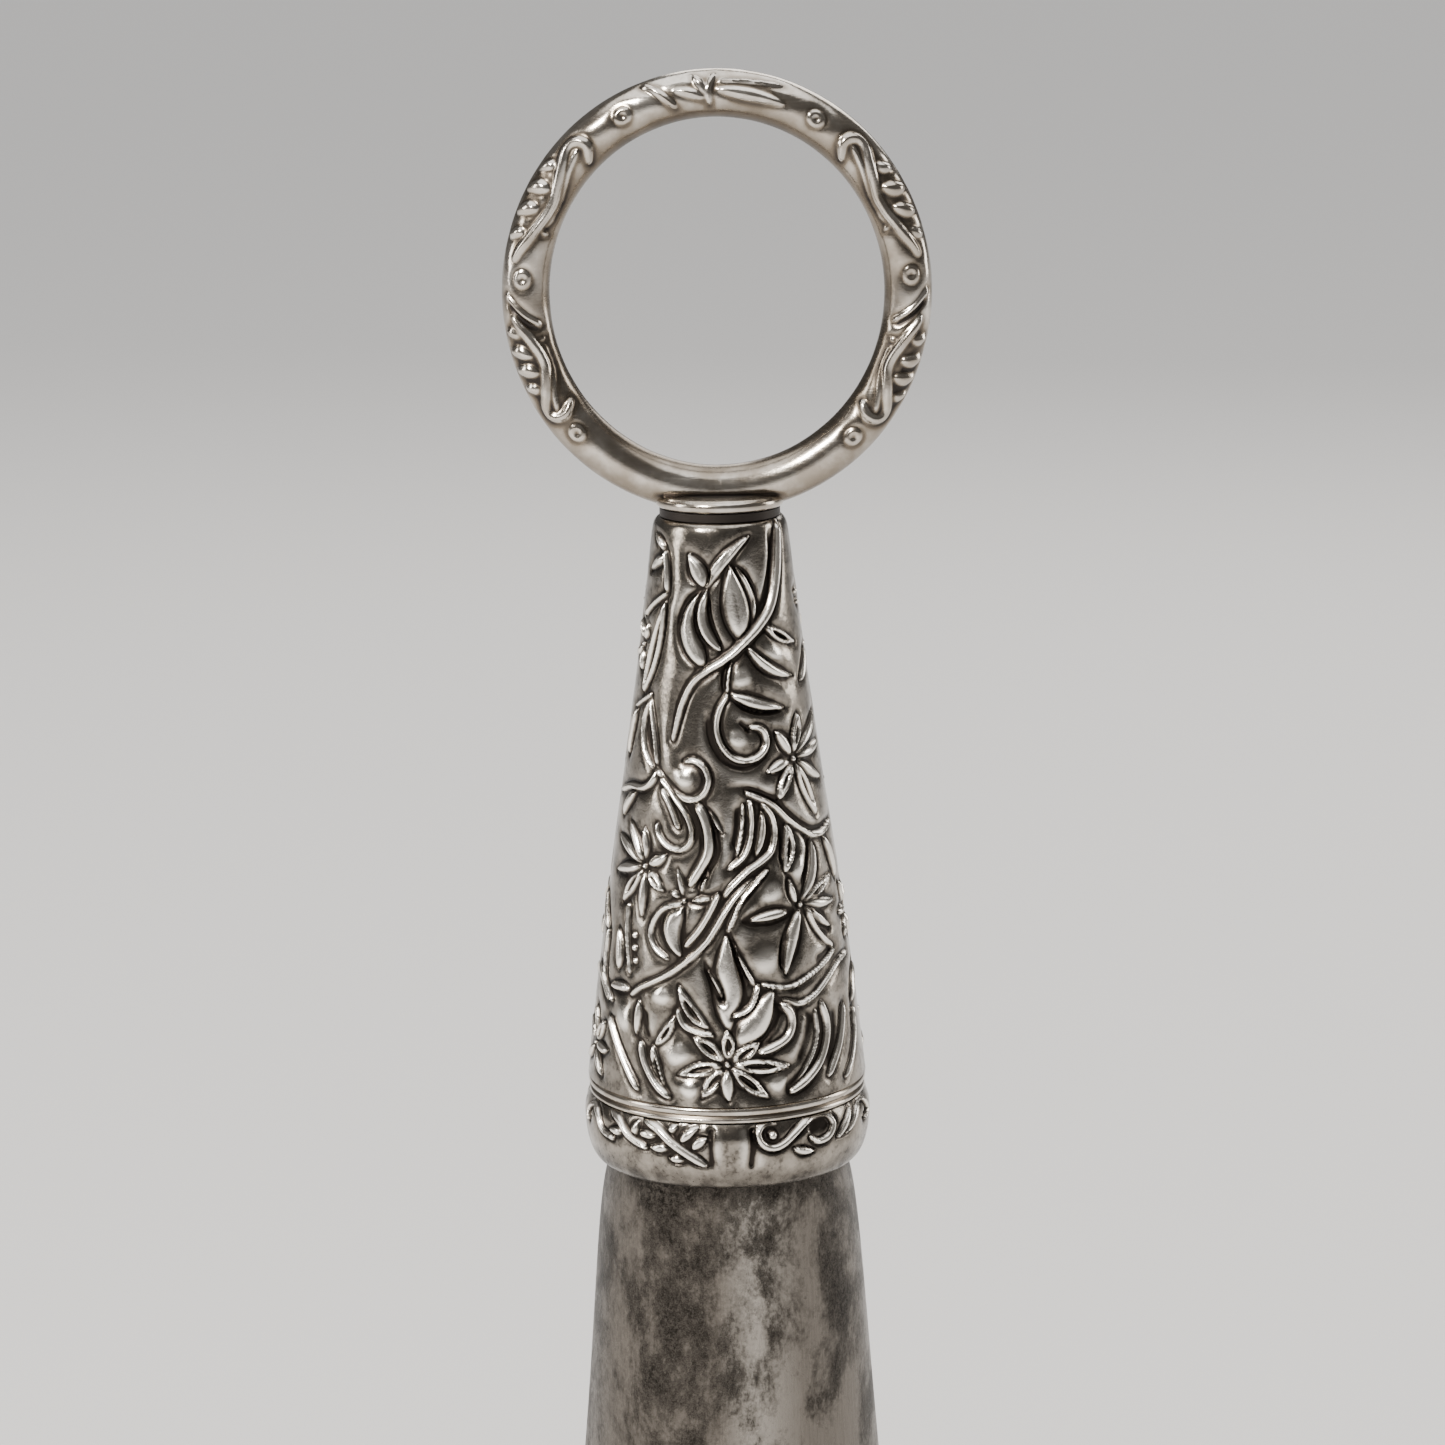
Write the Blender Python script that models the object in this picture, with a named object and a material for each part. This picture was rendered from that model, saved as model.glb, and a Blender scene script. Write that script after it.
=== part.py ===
"""Shoehorn with a hollow, die-stamped silver handle and a suspension ring.

Frame: +Z up, origin at the centre of the suspension ring. The ring lies in the
XZ plane, the handle hangs down along -Z, and the blade's round front faces -Y.
The dimensions below are in millimetres; finish() turns each mesh into metres.
"""
import math

import bmesh
import bpy
from mathutils import Matrix, Vector

MM = 0.001
CLEAR = 0.3                 # gap kept between neighbouring solids

# Suspension ring: a round rod bent to a slightly tall oval
RING_HALF_WIDTH = 12.17
RING_HALF_HEIGHT = 12.55
RING_ROD = 1.53
RING_STEPS = 72
RING_ROD_STEPS = 14

# Neck cuff: a cup with a saddle for the ring and a spigot into the handle
CUFF_TOP = -12.75
CUFF_BOTTOM = -14.03
CUFF_RADIUS = 4.03
CUFF_SPIGOT_RADIUS = 3.2
CUFF_SPIGOT_END = -17.6
CUFF_RIM = 0.45             # radius of the rounded rim
CUFF_CHAMFER = 0.1
CUFF_STEPS = 40

# Hollow handle: two stamped half shells on a slightly waisted taper
SHELL_TOP = -14.42
SHELL_BOTTOM = -50.7
SHELL_TOP_RADIUS = 4.25
SHELL_TAPER = 0.1334        # radius gained per millimetre of height
SHELL_WAIST = 0.09
SHELL_SHOULDER = 0.3
SHELL_SHOULDER_REACH = 0.25
SHELL_SHOULDER_ROWS = (0.0, 0.15, 0.5)
SHELL_ROWS = 10
SHELL_INSIDE = 0.75         # the inside is a plain cone, this much smaller at the top
SHELL_INSIDE_TAPER = 0.1364
SHELL_STEPS = 26

# Bead wire and collar below the shells
BEAD_RADIUS = 8.6
BEAD_WIRE = 0.5
BEAD_HEIGHT = -51.5
BEAD_STEPS = 64
BEAD_WIRE_STEPS = 10
COLLAR_TOP = -52.3
COLLAR_BOTTOM = -56.5
COLLAR_RADIUS = 9.34
COLLAR_RIM = 0.3            # how far the rim stands in from the belly
COLLAR_RIM_DEPTH = 0.5
COLLAR_BELLY = 1.2          # the widest place, below the rim
COLLAR_LIP_RADIUS = 8.26
COLLAR_LIP_STEPS = 6
COLLAR_BORE = 8.12
COLLAR_BORE_TOP = 8.32

# Closing disc inside the collar
PLATE_RADIUS = 7.95
PLATE_TOP = -52.4
PLATE_BOTTOM = -52.9

# Cement filling
FILLER_TOP = -18.2
FILLER_BOTTOM = -52.1
FILLER_END_RADIUS = 7.75
FILLER_GAP = 0.35           # between the cement and the shells
FILLER_FOOT = -50.5         # where it narrows to its end
FILLER_CHAMFER = 0.3
FILLER_STEPS = 40

# Blade: sheet bent round the front, half round at the collar, open at the heel
BLADE_TOP = -53.3
BLADE_TIP = -171.0
BLADE_SHEET = 0.9
BLADE_SOCKET_RADIUS = 7.75
BLADE_WIDTH = 8.3           # half width that the taper starts from
BLADE_TAPER = 0.07
BLADE_FLARE = 0.0004
BLADE_NECK_IN = 0.5
BLADE_NECK_REACH = 2.0
BLADE_BULGE = 0.6
BLADE_BOW = 2.0
BLADE_TIP_ROUND = 30.0
BLADE_COLUMNS = 16
BLADE_NECK_ROWS = (0.0, 0.8, 2.0, 4.0)
BLADE_BODY = 8.0            # below the collar, where the even rows start
BLADE_BODY_ROWS = 12
BLADE_TIP_ROWS = 9

# Tang and the rivets that hold it to the blade
TANG_WIDTH = 6.0
TANG_THICK = 0.9
TANG_FRONT = -5.85
TANG_LOW = -56.3
TANG_HIGH = -32.0
TANG_BEND_LOW = -51.4
TANG_BEND_HIGH = -45.0
RIVET_SPREAD = 1.5
RIVET_HEIGHT = -54.9
RIVET_SHANK = 0.6
RIVET_HEAD = 1.1
RIVET_HEAD_HEIGHT = 0.6
RIVET_FRONT = -7.7
RIVET_STEPS = 16
SIDES = ((-1, "left"), (1, "right"))

ROUND_STEPS = 56
QUARTER = math.pi / 2
CUT_THROUGH = 1.0           # how far a cutter runs past what it cuts
WELD = 0.0005
SMOOTH_ANGLE = math.radians(40)

SILVER = ("plated_silver", (0.62, 0.60, 0.57), 0.22, 1.0)
STAMPED_SILVER = ("oxidised_silver", (0.42, 0.40, 0.38), 0.30, 1.0)
BLADE_METAL = ("tarnished_blade", (0.45, 0.42, 0.39), 0.33, 1.0)
BRASS_SHEET = ("plain_brass", (0.60, 0.47, 0.24), 0.40, 1.0)
CEMENT = ("cement_filling", (0.16, 0.11, 0.08), 0.85, 0.0)
STEEL = ("plain_steel", (0.40, 0.40, 0.41), 0.45, 1.0)


def clear_scene():
    for old in list(bpy.data.objects):
        bpy.data.objects.remove(old, do_unlink=True)


def finish_material(finish_values):
    name, colour, roughness, metallic = finish_values
    found = bpy.data.materials.get(name)
    if found is not None and found.use_nodes:
        return found
    mat = bpy.data.materials.new(name)
    mat.use_nodes = True
    shader = mat.node_tree.nodes["Principled BSDF"]
    shader.inputs["Base Color"].default_value = (*colour, 1.0)
    shader.inputs["Roughness"].default_value = roughness
    shader.inputs["Metallic"].default_value = metallic
    return mat


def finish(bm, name, finish_values):
    """Scale a bmesh from millimetres to metres and make the named object."""
    bmesh.ops.recalc_face_normals(bm, faces=bm.faces)
    bmesh.ops.scale(bm, vec=(MM, MM, MM), verts=bm.verts)
    mesh = bpy.data.meshes.new(name)
    bm.to_mesh(mesh)
    bm.free()
    mesh.shade_smooth()
    mesh.set_sharp_from_angle(angle=SMOOTH_ANGLE)
    mesh.materials.append(finish_material(finish_values))
    piece = bpy.data.objects.new(name, mesh)
    bpy.context.scene.collection.objects.link(piece)
    return piece


def make_cutter(bm, name):
    cutter = finish(bm, name, STEEL)
    cutter.hide_render = True
    cutter.display_type = "WIRE"
    return cutter


def cut(piece, cutter):
    boolean = piece.modifiers.new(cutter.name, "BOOLEAN")
    boolean.operation = "DIFFERENCE"
    boolean.object = cutter


def profile_loop(bm, points, closed):
    verts = [bm.verts.new((radius, 0.0, height)) for radius, height in points]
    pairs = list(zip(verts, verts[1:]))
    if closed:
        pairs.append((verts[-1], verts[0]))
    edges = [bm.edges.new(pair) for pair in pairs]
    return verts, edges


def turned(points, closed, steps=ROUND_STEPS):
    """Turn a profile of (radius, height) points all the way round the Z axis."""
    bm = bmesh.new()
    verts, edges = profile_loop(bm, points, closed)
    bmesh.ops.spin(bm, geom=verts + edges, cent=(0, 0, 0), axis=(0, 0, 1), angle=math.tau, steps=steps)
    bmesh.ops.remove_doubles(bm, verts=bm.verts, dist=WELD)
    return bm


def half_turned(points, side, steps):
    """Turn a closed profile half way round, on the +Y or -Y side, with flat seams."""
    bm = bmesh.new()
    verts, edges = profile_loop(bm, points, True)
    face = bm.faces.new(verts)
    geometry = [face] + verts + edges
    bmesh.ops.spin(bm, geom=geometry, cent=(0, 0, 0), axis=(0, 0, 1), angle=side * math.pi, steps=steps)
    for vert in bm.verts:
        if abs(vert.co.y) < WELD:
            vert.co.y = side * CLEAR / 2
    return bm


def torus(centre_radius, tube_radius, around, steps, tube_steps):
    """Sweep a circle round an axis: around is Z for a wire, Y for the ring."""
    bm = bmesh.new()
    circle = bmesh.ops.create_circle(bm, segments=tube_steps, radius=tube_radius)["verts"]
    if around == "Z":
        stand_up = Matrix.Rotation(QUARTER, 4, "X")
        axis = (0, 0, 1)
    else:
        stand_up = Matrix.Identity(4)
        axis = (0, 1, 0)
    bmesh.ops.transform(bm, matrix=Matrix.Translation((centre_radius, 0, 0)) @ stand_up, verts=circle)
    geometry = list(bm.verts) + list(bm.edges)
    bmesh.ops.spin(bm, geom=geometry, cent=(0, 0, 0), axis=axis, angle=math.tau, steps=steps)
    bmesh.ops.remove_doubles(bm, verts=bm.verts, dist=WELD)
    return bm


def ring_rod(extra):
    """The ring's rod, thicker by extra all round: a torus narrowed to the oval."""
    bm = torus(RING_HALF_HEIGHT, RING_ROD + extra, "Y", RING_STEPS, RING_ROD_STEPS)
    narrow = RING_HALF_WIDTH / RING_HALF_HEIGHT
    bmesh.ops.scale(bm, vec=(narrow, 1.0, 1.0), verts=bm.verts)
    return bm


def shell_radius(height):
    """Outer radius of the handle: a straight taper, slightly waisted above and full below."""
    down = SHELL_TOP - height
    along = down / (SHELL_TOP - SHELL_BOTTOM)
    taper = SHELL_TOP_RADIUS + SHELL_TAPER * down
    waist = SHELL_WAIST * math.sin(math.tau * (along - 0.5))
    shoulder = SHELL_SHOULDER * math.exp(-down / SHELL_SHOULDER_REACH)
    return taper + waist - shoulder


def shell_profile():
    """Closed outline of the stamped sheet: down the outside and back up the inside."""
    drop = SHELL_TOP - SHELL_BOTTOM
    start = SHELL_SHOULDER_ROWS[-1]
    depths = list(SHELL_SHOULDER_ROWS)
    depths += [start + (drop - start) * row / SHELL_ROWS for row in range(1, SHELL_ROWS + 1)]
    outer_heights = [SHELL_TOP - depth for depth in depths]
    inner_heights = [SHELL_BOTTOM + drop * row / SHELL_ROWS for row in range(SHELL_ROWS + 1)]
    outside = [(shell_radius(height), height) for height in outer_heights]
    inside = [(inner_radius(height), height) for height in inner_heights]
    return outside + inside


def inner_radius(height):
    """Inner radius of the handle: a plain cone."""
    return SHELL_TOP_RADIUS - SHELL_INSIDE + SHELL_INSIDE_TAPER * (SHELL_TOP - height)


def make_ring():
    finish(ring_rod(0.0), "ring", SILVER)


def make_neck_cuff():
    """Turned cup with a rounded rim; the saddle for the ring is cut out of its top."""
    centre = (CUFF_RADIUS - CUFF_RIM, CUFF_TOP - CUFF_RIM)
    turns = [QUARTER * step / 3 for step in range(4)]
    corner = [
        (centre[0] + CUFF_RIM * math.sin(turn), centre[1] + CUFF_RIM * math.cos(turn))
        for turn in turns
    ]
    skirt = [(CUFF_RADIUS, CUFF_BOTTOM + CUFF_CHAMFER), (CUFF_RADIUS - CUFF_CHAMFER, CUFF_BOTTOM)]
    spigot = [(CUFF_SPIGOT_RADIUS, CUFF_BOTTOM), (CUFF_SPIGOT_RADIUS, CUFF_SPIGOT_END)]
    profile = [(0.0, CUFF_TOP)] + corner + skirt + spigot + [(0.0, CUFF_SPIGOT_END)]
    cuff = finish(turned(profile, False, CUFF_STEPS), "neck_cuff", SILVER)
    cut(cuff, make_cutter(ring_rod(CLEAR), "ring_saddle_cutter"))


def make_handle_shells():
    for name, side in (("handle_shell_front", -1), ("handle_shell_back", 1)):
        finish(half_turned(shell_profile(), side, SHELL_STEPS), name, STAMPED_SILVER)


def make_shell_bead():
    bm = torus(BEAD_RADIUS, BEAD_WIRE, "Z", BEAD_STEPS, BEAD_WIRE_STEPS)
    bmesh.ops.translate(bm, vec=(0, 0, BEAD_HEIGHT), verts=bm.verts)
    finish(bm, "shell_bead", SILVER)


def make_base_collar():
    """Stamped collar: a full round belly above, drawn in to a rolled lower lip."""
    belly = COLLAR_TOP - COLLAR_BELLY
    sink = belly - COLLAR_BOTTOM
    drawn_in = COLLAR_RADIUS - COLLAR_LIP_RADIUS
    outside = [(COLLAR_RADIUS - COLLAR_RIM, COLLAR_TOP), (COLLAR_RADIUS, COLLAR_TOP - COLLAR_RIM_DEPTH)]
    for step in range(COLLAR_LIP_STEPS + 1):
        turn = QUARTER * step / COLLAR_LIP_STEPS
        outside.append((COLLAR_RADIUS - drawn_in * (1 - math.cos(turn)), belly - sink * math.sin(turn)))
    inside = [(COLLAR_BORE, COLLAR_BOTTOM), (COLLAR_BORE_TOP, COLLAR_TOP)]
    finish(turned(outside + inside, True), "base_collar", STAMPED_SILVER)


def box_cutter(name, low, high):
    bm = bmesh.new()
    size = Vector(high) - Vector(low)
    middle = (Vector(high) + Vector(low)) / 2
    matrix = Matrix.Translation(middle) @ Matrix.Diagonal((*size, 1.0))
    bmesh.ops.create_cube(bm, size=1.0, matrix=matrix)
    return make_cutter(bm, name)


def make_end_plate():
    rim = [(PLATE_RADIUS, PLATE_TOP), (PLATE_RADIUS, PLATE_BOTTOM)]
    profile = [(0.0, PLATE_TOP)] + rim + [(0.0, PLATE_BOTTOM)]
    plate = finish(turned(profile, False), "end_plate", BRASS_SHEET)
    side = TANG_WIDTH / 2 + CLEAR
    low = (-side, TANG_FRONT - CLEAR, PLATE_BOTTOM - CUT_THROUGH)
    high = (side, TANG_FRONT + TANG_THICK + CLEAR, PLATE_TOP + CUT_THROUGH)
    cut(plate, box_cutter("plate_slot_cutter", low, high))


def tang_strip(width, thick):
    """Flat strip, bent from the blade's inner face back to the handle's axis."""
    middle = TANG_FRONT + TANG_THICK / 2
    spread = (thick - TANG_THICK) / 2
    route = [
        (middle, TANG_LOW - spread),
        (middle, TANG_BEND_LOW),
        (0.0, TANG_BEND_HIGH),
        (0.0, TANG_HIGH + spread),
    ]
    slant = math.atan2(-middle, TANG_BEND_HIGH - TANG_BEND_LOW)
    turns = [0.0, slant / 2, slant / 2, 0.0]
    bm = bmesh.new()
    front = []
    back = []
    for (depth, height), turn in zip(route, turns):
        reach = thick / 2 / math.cos(turn)
        across = Vector((0.0, math.cos(turn), -math.sin(turn))) * reach
        place = Vector((-width / 2, depth, height))
        front.append(bm.verts.new(place - across))
        back.append(bm.verts.new(place + across))
    face = bm.faces.new(front + back[::-1])
    moved = bmesh.ops.extrude_face_region(bm, geom=[face])["geom"]
    moved_verts = [item for item in moved if isinstance(item, bmesh.types.BMVert)]
    bmesh.ops.translate(bm, vec=(width, 0, 0), verts=moved_verts)
    return bm


def rivet_body(profile, side):
    """Turn a profile about an axis along Y at one rivet's place."""
    bm = turned(profile, False, RIVET_STEPS)
    lay_down = Matrix.Rotation(-QUARTER, 4, "X")
    place = Matrix.Translation((side * RIVET_SPREAD, 0, RIVET_HEIGHT))
    bmesh.ops.transform(bm, matrix=place @ lay_down, verts=bm.verts)
    return bm


def drill_rivet_holes(piece):
    reach = RIVET_SHANK + CLEAR
    front = RIVET_FRONT - CUT_THROUGH
    back = TANG_FRONT + TANG_THICK + CUT_THROUGH
    profile = [(0.0, front), (reach, front), (reach, back), (0.0, back)]
    for side, word in SIDES:
        cut(piece, make_cutter(rivet_body(profile, side), f"{piece.name}_hole_cutter_{word}"))


def make_tang():
    drill_rivet_holes(finish(tang_strip(TANG_WIDTH, TANG_THICK), "tang", STEEL))


def make_tang_rivets():
    """Two rivets, filed flush in front and headed behind the tang."""
    seat = TANG_FRONT + TANG_THICK + CLEAR
    turns = [QUARTER * step / 3 for step in range(3)]
    dome = [(RIVET_HEAD * math.cos(turn), seat + RIVET_HEAD_HEIGHT * math.sin(turn)) for turn in turns]
    shank = [(0.0, RIVET_FRONT), (RIVET_SHANK, RIVET_FRONT), (RIVET_SHANK, seat)]
    profile = shank + dome + [(0.0, seat + RIVET_HEAD_HEIGHT)]
    for side, word in SIDES:
        finish(rivet_body(profile, side), f"tang_rivet_{word}", STEEL)


def make_filler_core():
    """Cement that fills the shells, with the tang's slot cut out of it."""
    profile = [
        (0.0, FILLER_TOP),
        (inner_radius(FILLER_TOP) - FILLER_GAP, FILLER_TOP),
        (inner_radius(FILLER_FOOT) - FILLER_GAP, FILLER_FOOT),
        (FILLER_END_RADIUS, FILLER_FOOT - FILLER_CHAMFER),
        (FILLER_END_RADIUS, FILLER_BOTTOM),
        (0.0, FILLER_BOTTOM),
    ]
    filler = finish(turned(profile, False, FILLER_STEPS), "filler_core", CEMENT)
    slot = tang_strip(TANG_WIDTH + 2 * CLEAR, TANG_THICK + 2 * CLEAR)
    cut(filler, make_cutter(slot, "filler_slot_cutter"))


def blade_half_width(below):
    """Half width at a distance below the collar's mouth, before the tip is rounded."""
    if below <= 0:
        return BLADE_SOCKET_RADIUS
    neck = BLADE_NECK_IN * math.exp(-below / BLADE_NECK_REACH)
    return BLADE_WIDTH + BLADE_TAPER * below + BLADE_FLARE * below * below - neck


def blade_point(height, across):
    """Point on the blade's front face: across runs from -1 to 1 over the width.

    The section is an arc of the given half width and depth, its front on a
    spine that bows gently back towards the tip.
    """
    length = COLLAR_BOTTOM - BLADE_TIP
    below = max(COLLAR_BOTTOM - height, 0.0)
    run = below / length
    width = blade_half_width(below)
    depth = BLADE_SOCKET_RADIUS + BLADE_BULGE * math.sin(math.pi * run)
    arc_radius = (width * width + depth * depth) / (2 * depth)
    arc_angle = 2 * math.atan2(depth, width)
    into_tip = max(0.0, 1.0 - (height - BLADE_TIP) / BLADE_TIP_ROUND)
    arc_angle *= math.sqrt(max(0.0, 1.0 - into_tip * into_tip))
    turn = across * arc_angle
    front = -BLADE_SOCKET_RADIUS + BLADE_BOW * run * run
    return (arc_radius * math.sin(turn), front + arc_radius * (1 - math.cos(turn)), height)


def blade_heights():
    """Heights of the blade's rows, closer under the collar and round the tip."""
    neck = [COLLAR_BOTTOM - below for below in BLADE_NECK_ROWS]
    start = COLLAR_BOTTOM - BLADE_BODY
    end = BLADE_TIP + BLADE_TIP_ROUND
    body = [start + (end - start) * row / BLADE_BODY_ROWS for row in range(BLADE_BODY_ROWS + 1)]
    turns = [QUARTER * row / BLADE_TIP_ROWS for row in range(1, BLADE_TIP_ROWS + 1)]
    tip = [BLADE_TIP + BLADE_TIP_ROUND * (1 - math.sin(turn)) for turn in turns]
    return [BLADE_TOP] + neck + body + tip


def make_blade():
    """Front face as a grid of arcs, thickened towards the hollow side."""
    bm = bmesh.new()
    rows = []
    for height in blade_heights():
        steps = [-1 + 2 * column / BLADE_COLUMNS for column in range(BLADE_COLUMNS + 1)]
        rows.append([bm.verts.new(blade_point(height, across)) for across in steps])
    for upper, lower in zip(rows, rows[1:]):
        for column in range(BLADE_COLUMNS):
            corners = (upper[column], lower[column], lower[column + 1], upper[column + 1])
            bm.faces.new(corners)
    bmesh.ops.remove_doubles(bm, verts=bm.verts, dist=WELD)
    blade = finish(bm, "blade", BLADE_METAL)
    sheet = blade.modifiers.new("sheet", "SOLIDIFY")
    sheet.thickness = BLADE_SHEET * MM
    sheet.offset = -1.0
    drill_rivet_holes(blade)


def build():
    clear_scene()
    make_ring()
    make_neck_cuff()
    make_handle_shells()
    make_shell_bead()
    make_base_collar()
    make_end_plate()
    make_filler_core()
    make_blade()
    make_tang()
    make_tang_rivets()


build()
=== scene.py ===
"""Looks of the ring-ended shoehorn: stamped silver handle, chased ring, collar and tarnished blade.

Lengths are worked out in millimetres and written to the meshes in metres. Ornament is laid out on
the unrolled metal: (across, down), where across is the distance round the handle from its front
line and down is the distance below the ring's centre.
"""

import math

import bpy
import numpy as np
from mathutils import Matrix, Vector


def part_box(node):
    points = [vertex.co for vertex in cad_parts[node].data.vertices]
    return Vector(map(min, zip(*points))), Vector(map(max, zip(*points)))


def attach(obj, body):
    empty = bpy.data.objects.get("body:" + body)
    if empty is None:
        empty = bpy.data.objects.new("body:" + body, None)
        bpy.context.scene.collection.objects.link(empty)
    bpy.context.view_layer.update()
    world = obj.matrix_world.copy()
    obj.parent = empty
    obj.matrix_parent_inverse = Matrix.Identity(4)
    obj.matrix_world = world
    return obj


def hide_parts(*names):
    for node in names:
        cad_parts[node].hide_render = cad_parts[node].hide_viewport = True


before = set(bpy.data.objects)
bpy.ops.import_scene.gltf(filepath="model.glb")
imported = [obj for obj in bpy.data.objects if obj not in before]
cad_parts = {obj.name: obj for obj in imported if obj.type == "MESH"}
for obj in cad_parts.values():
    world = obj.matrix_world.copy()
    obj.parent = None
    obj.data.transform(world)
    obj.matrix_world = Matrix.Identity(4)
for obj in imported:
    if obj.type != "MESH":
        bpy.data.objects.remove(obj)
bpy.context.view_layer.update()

MM = 0.001
TAU = 2 * math.pi


# ---------------------------------------------------------------- measures taken from the frame

def span(node):
    """Lowest and highest corner of a CAD node, in millimetres."""
    low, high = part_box(node)
    return np.array(low) / MM, np.array(high) / MM


ring_low, ring_high = span("ring")
cuff_low, cuff_high = span("neck_cuff")
shell_low, shell_high = span("handle_shell_front")
bead_low, bead_high = span("shell_bead")
collar_low, collar_high = span("base_collar")
blade_low, blade_high = span("blade")

RING_ROD = (ring_high[1] - ring_low[1]) / 2
RING_HALF_WIDTH = ring_high[0] - RING_ROD
RING_HALF_HEIGHT = ring_high[2] - RING_ROD
RING_MEAN_RADIUS = (RING_HALF_WIDTH + RING_HALF_HEIGHT) / 2

CUFF_TOP = 12.75

SHELL_TOP = -shell_high[2] - 0.22       # both ends run a little past the CAD's, to cuff and bead
SHELL_BOTTOM = -shell_low[2] + 0.2
SHELL_TOP_RADIUS = 4.25
SHELL_FOOT_RADIUS = shell_high[0]
SHELL_WAIST = 0.09
SHELL_SHOULDER = 0.3
SHELL_SHOULDER_REACH = 0.25
SHELL_WALL = 0.7
SEAM_GAP = 0.02
TOP_FADE = 0.6              # how far from the shell's ends its relief reaches full height
FOOT_FADE = 0.3

COLLAR_TOP = -collar_high[2]
COLLAR_BOTTOM = -collar_low[2]
COLLAR_RADIUS = collar_high[0]
COLLAR_LIP_RADIUS = 8.26
COLLAR_BORE = 8.32

BLADE_TIP = -blade_low[2]
BLADE_TOP = -blade_high[2]
BLADE_SOCKET_RADIUS = 7.75
BLADE_WIDTH = 8.3           # half width that the taper starts from
BLADE_TAPER = 0.07
BLADE_FLARE = 0.0004
BLADE_NECK_IN = 0.5
BLADE_NECK_REACH = 2.0
BLADE_BULGE = 0.6
BLADE_BOW = 2.0
BLADE_TIP_ROUND = 30.0
BLADE_SHEET = 0.9


# ---------------------------------------------------------------- curves and relief

GROOVE_SHARE = 0.68         # how raised work cuts into the ground beside it: a narrow groove
GROOVE_WIDTH = 0.13
DIP_SHARE = 0.32            # and a broad dip
DIP_WIDTH = 0.42
DIP_REACH = 0.9
BOSS_DIP_REACH = 0.6
STEM_END = 0.5              # width of a stem's ends, as a share of its own
VEIN_DEPTH = 0.03
VEIN_WIDTH = 0.09
PETAL_ROOT = 0.4            # how far from a flower's centre its petals start
FLOWER_BOSS = 0.16
BED_DEPTH = 0.16
SWELL_RISE = 0.15
NEAR_CELLS = 5              # reach and weight of the means that tones are taken against
NEAR_GAIN = 2.5
# The wide means lay painted shade over broad low areas and painted highlight over broad raised ones.
WIDE_CELLS = 15
RAISED_GAIN = 0.4
SUNK_GAIN = 1.1


def smooth_route(points, steps=7):
    """Catmull-Rom curve through given points: each span blends its four nearest points."""
    p = np.array(points, float)
    if len(p) < 3:
        return p
    padded = np.vstack([2 * p[0] - p[1], p, 2 * p[-1] - p[-2]])
    a, b, c, d = padded[:-3], padded[1:-2], padded[2:-1], padded[3:]
    t = np.linspace(0, 1, steps, endpoint=False)[:, None, None]
    slope = (c - a) * t
    bend = (2 * a - 5 * b + 4 * c - d) * t**2
    twist = (3 * b - a - 3 * c + d) * t**3
    curve = b + 0.5 * (slope + bend + twist)
    return np.vstack([curve.transpose(1, 0, 2).reshape(-1, 2), p[-1]])


def bowed_axis(base, tip, bend):
    """Parabola from base to tip whose middle stands off to one side by bend."""
    base, tip = np.array(base, float), np.array(tip, float)
    run = tip - base
    aside = np.array([-run[1], run[0]]) / np.hypot(*run)
    t = np.linspace(0, 1, 13)[:, None]
    return base + run * t + aside * bend * 4 * t * (1 - t)


def box_blur(field, cells, passes=2):
    """Mean over a square window, by running sums along each direction, edges held."""
    for _ in range(passes):
        for axis in (0, 1):
            pad = [(0, 0), (0, 0)]
            pad[axis] = (cells + 1, cells)
            total = np.cumsum(np.pad(field, pad, mode="edge"), axis=axis)
            size = field.shape[axis]
            high = np.take(total, np.arange(2 * cells + 1, 2 * cells + 1 + size), axis=axis)
            low = np.take(total, np.arange(size), axis=axis)
            field = (high - low) / (2 * cells + 1)
    return field


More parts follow.
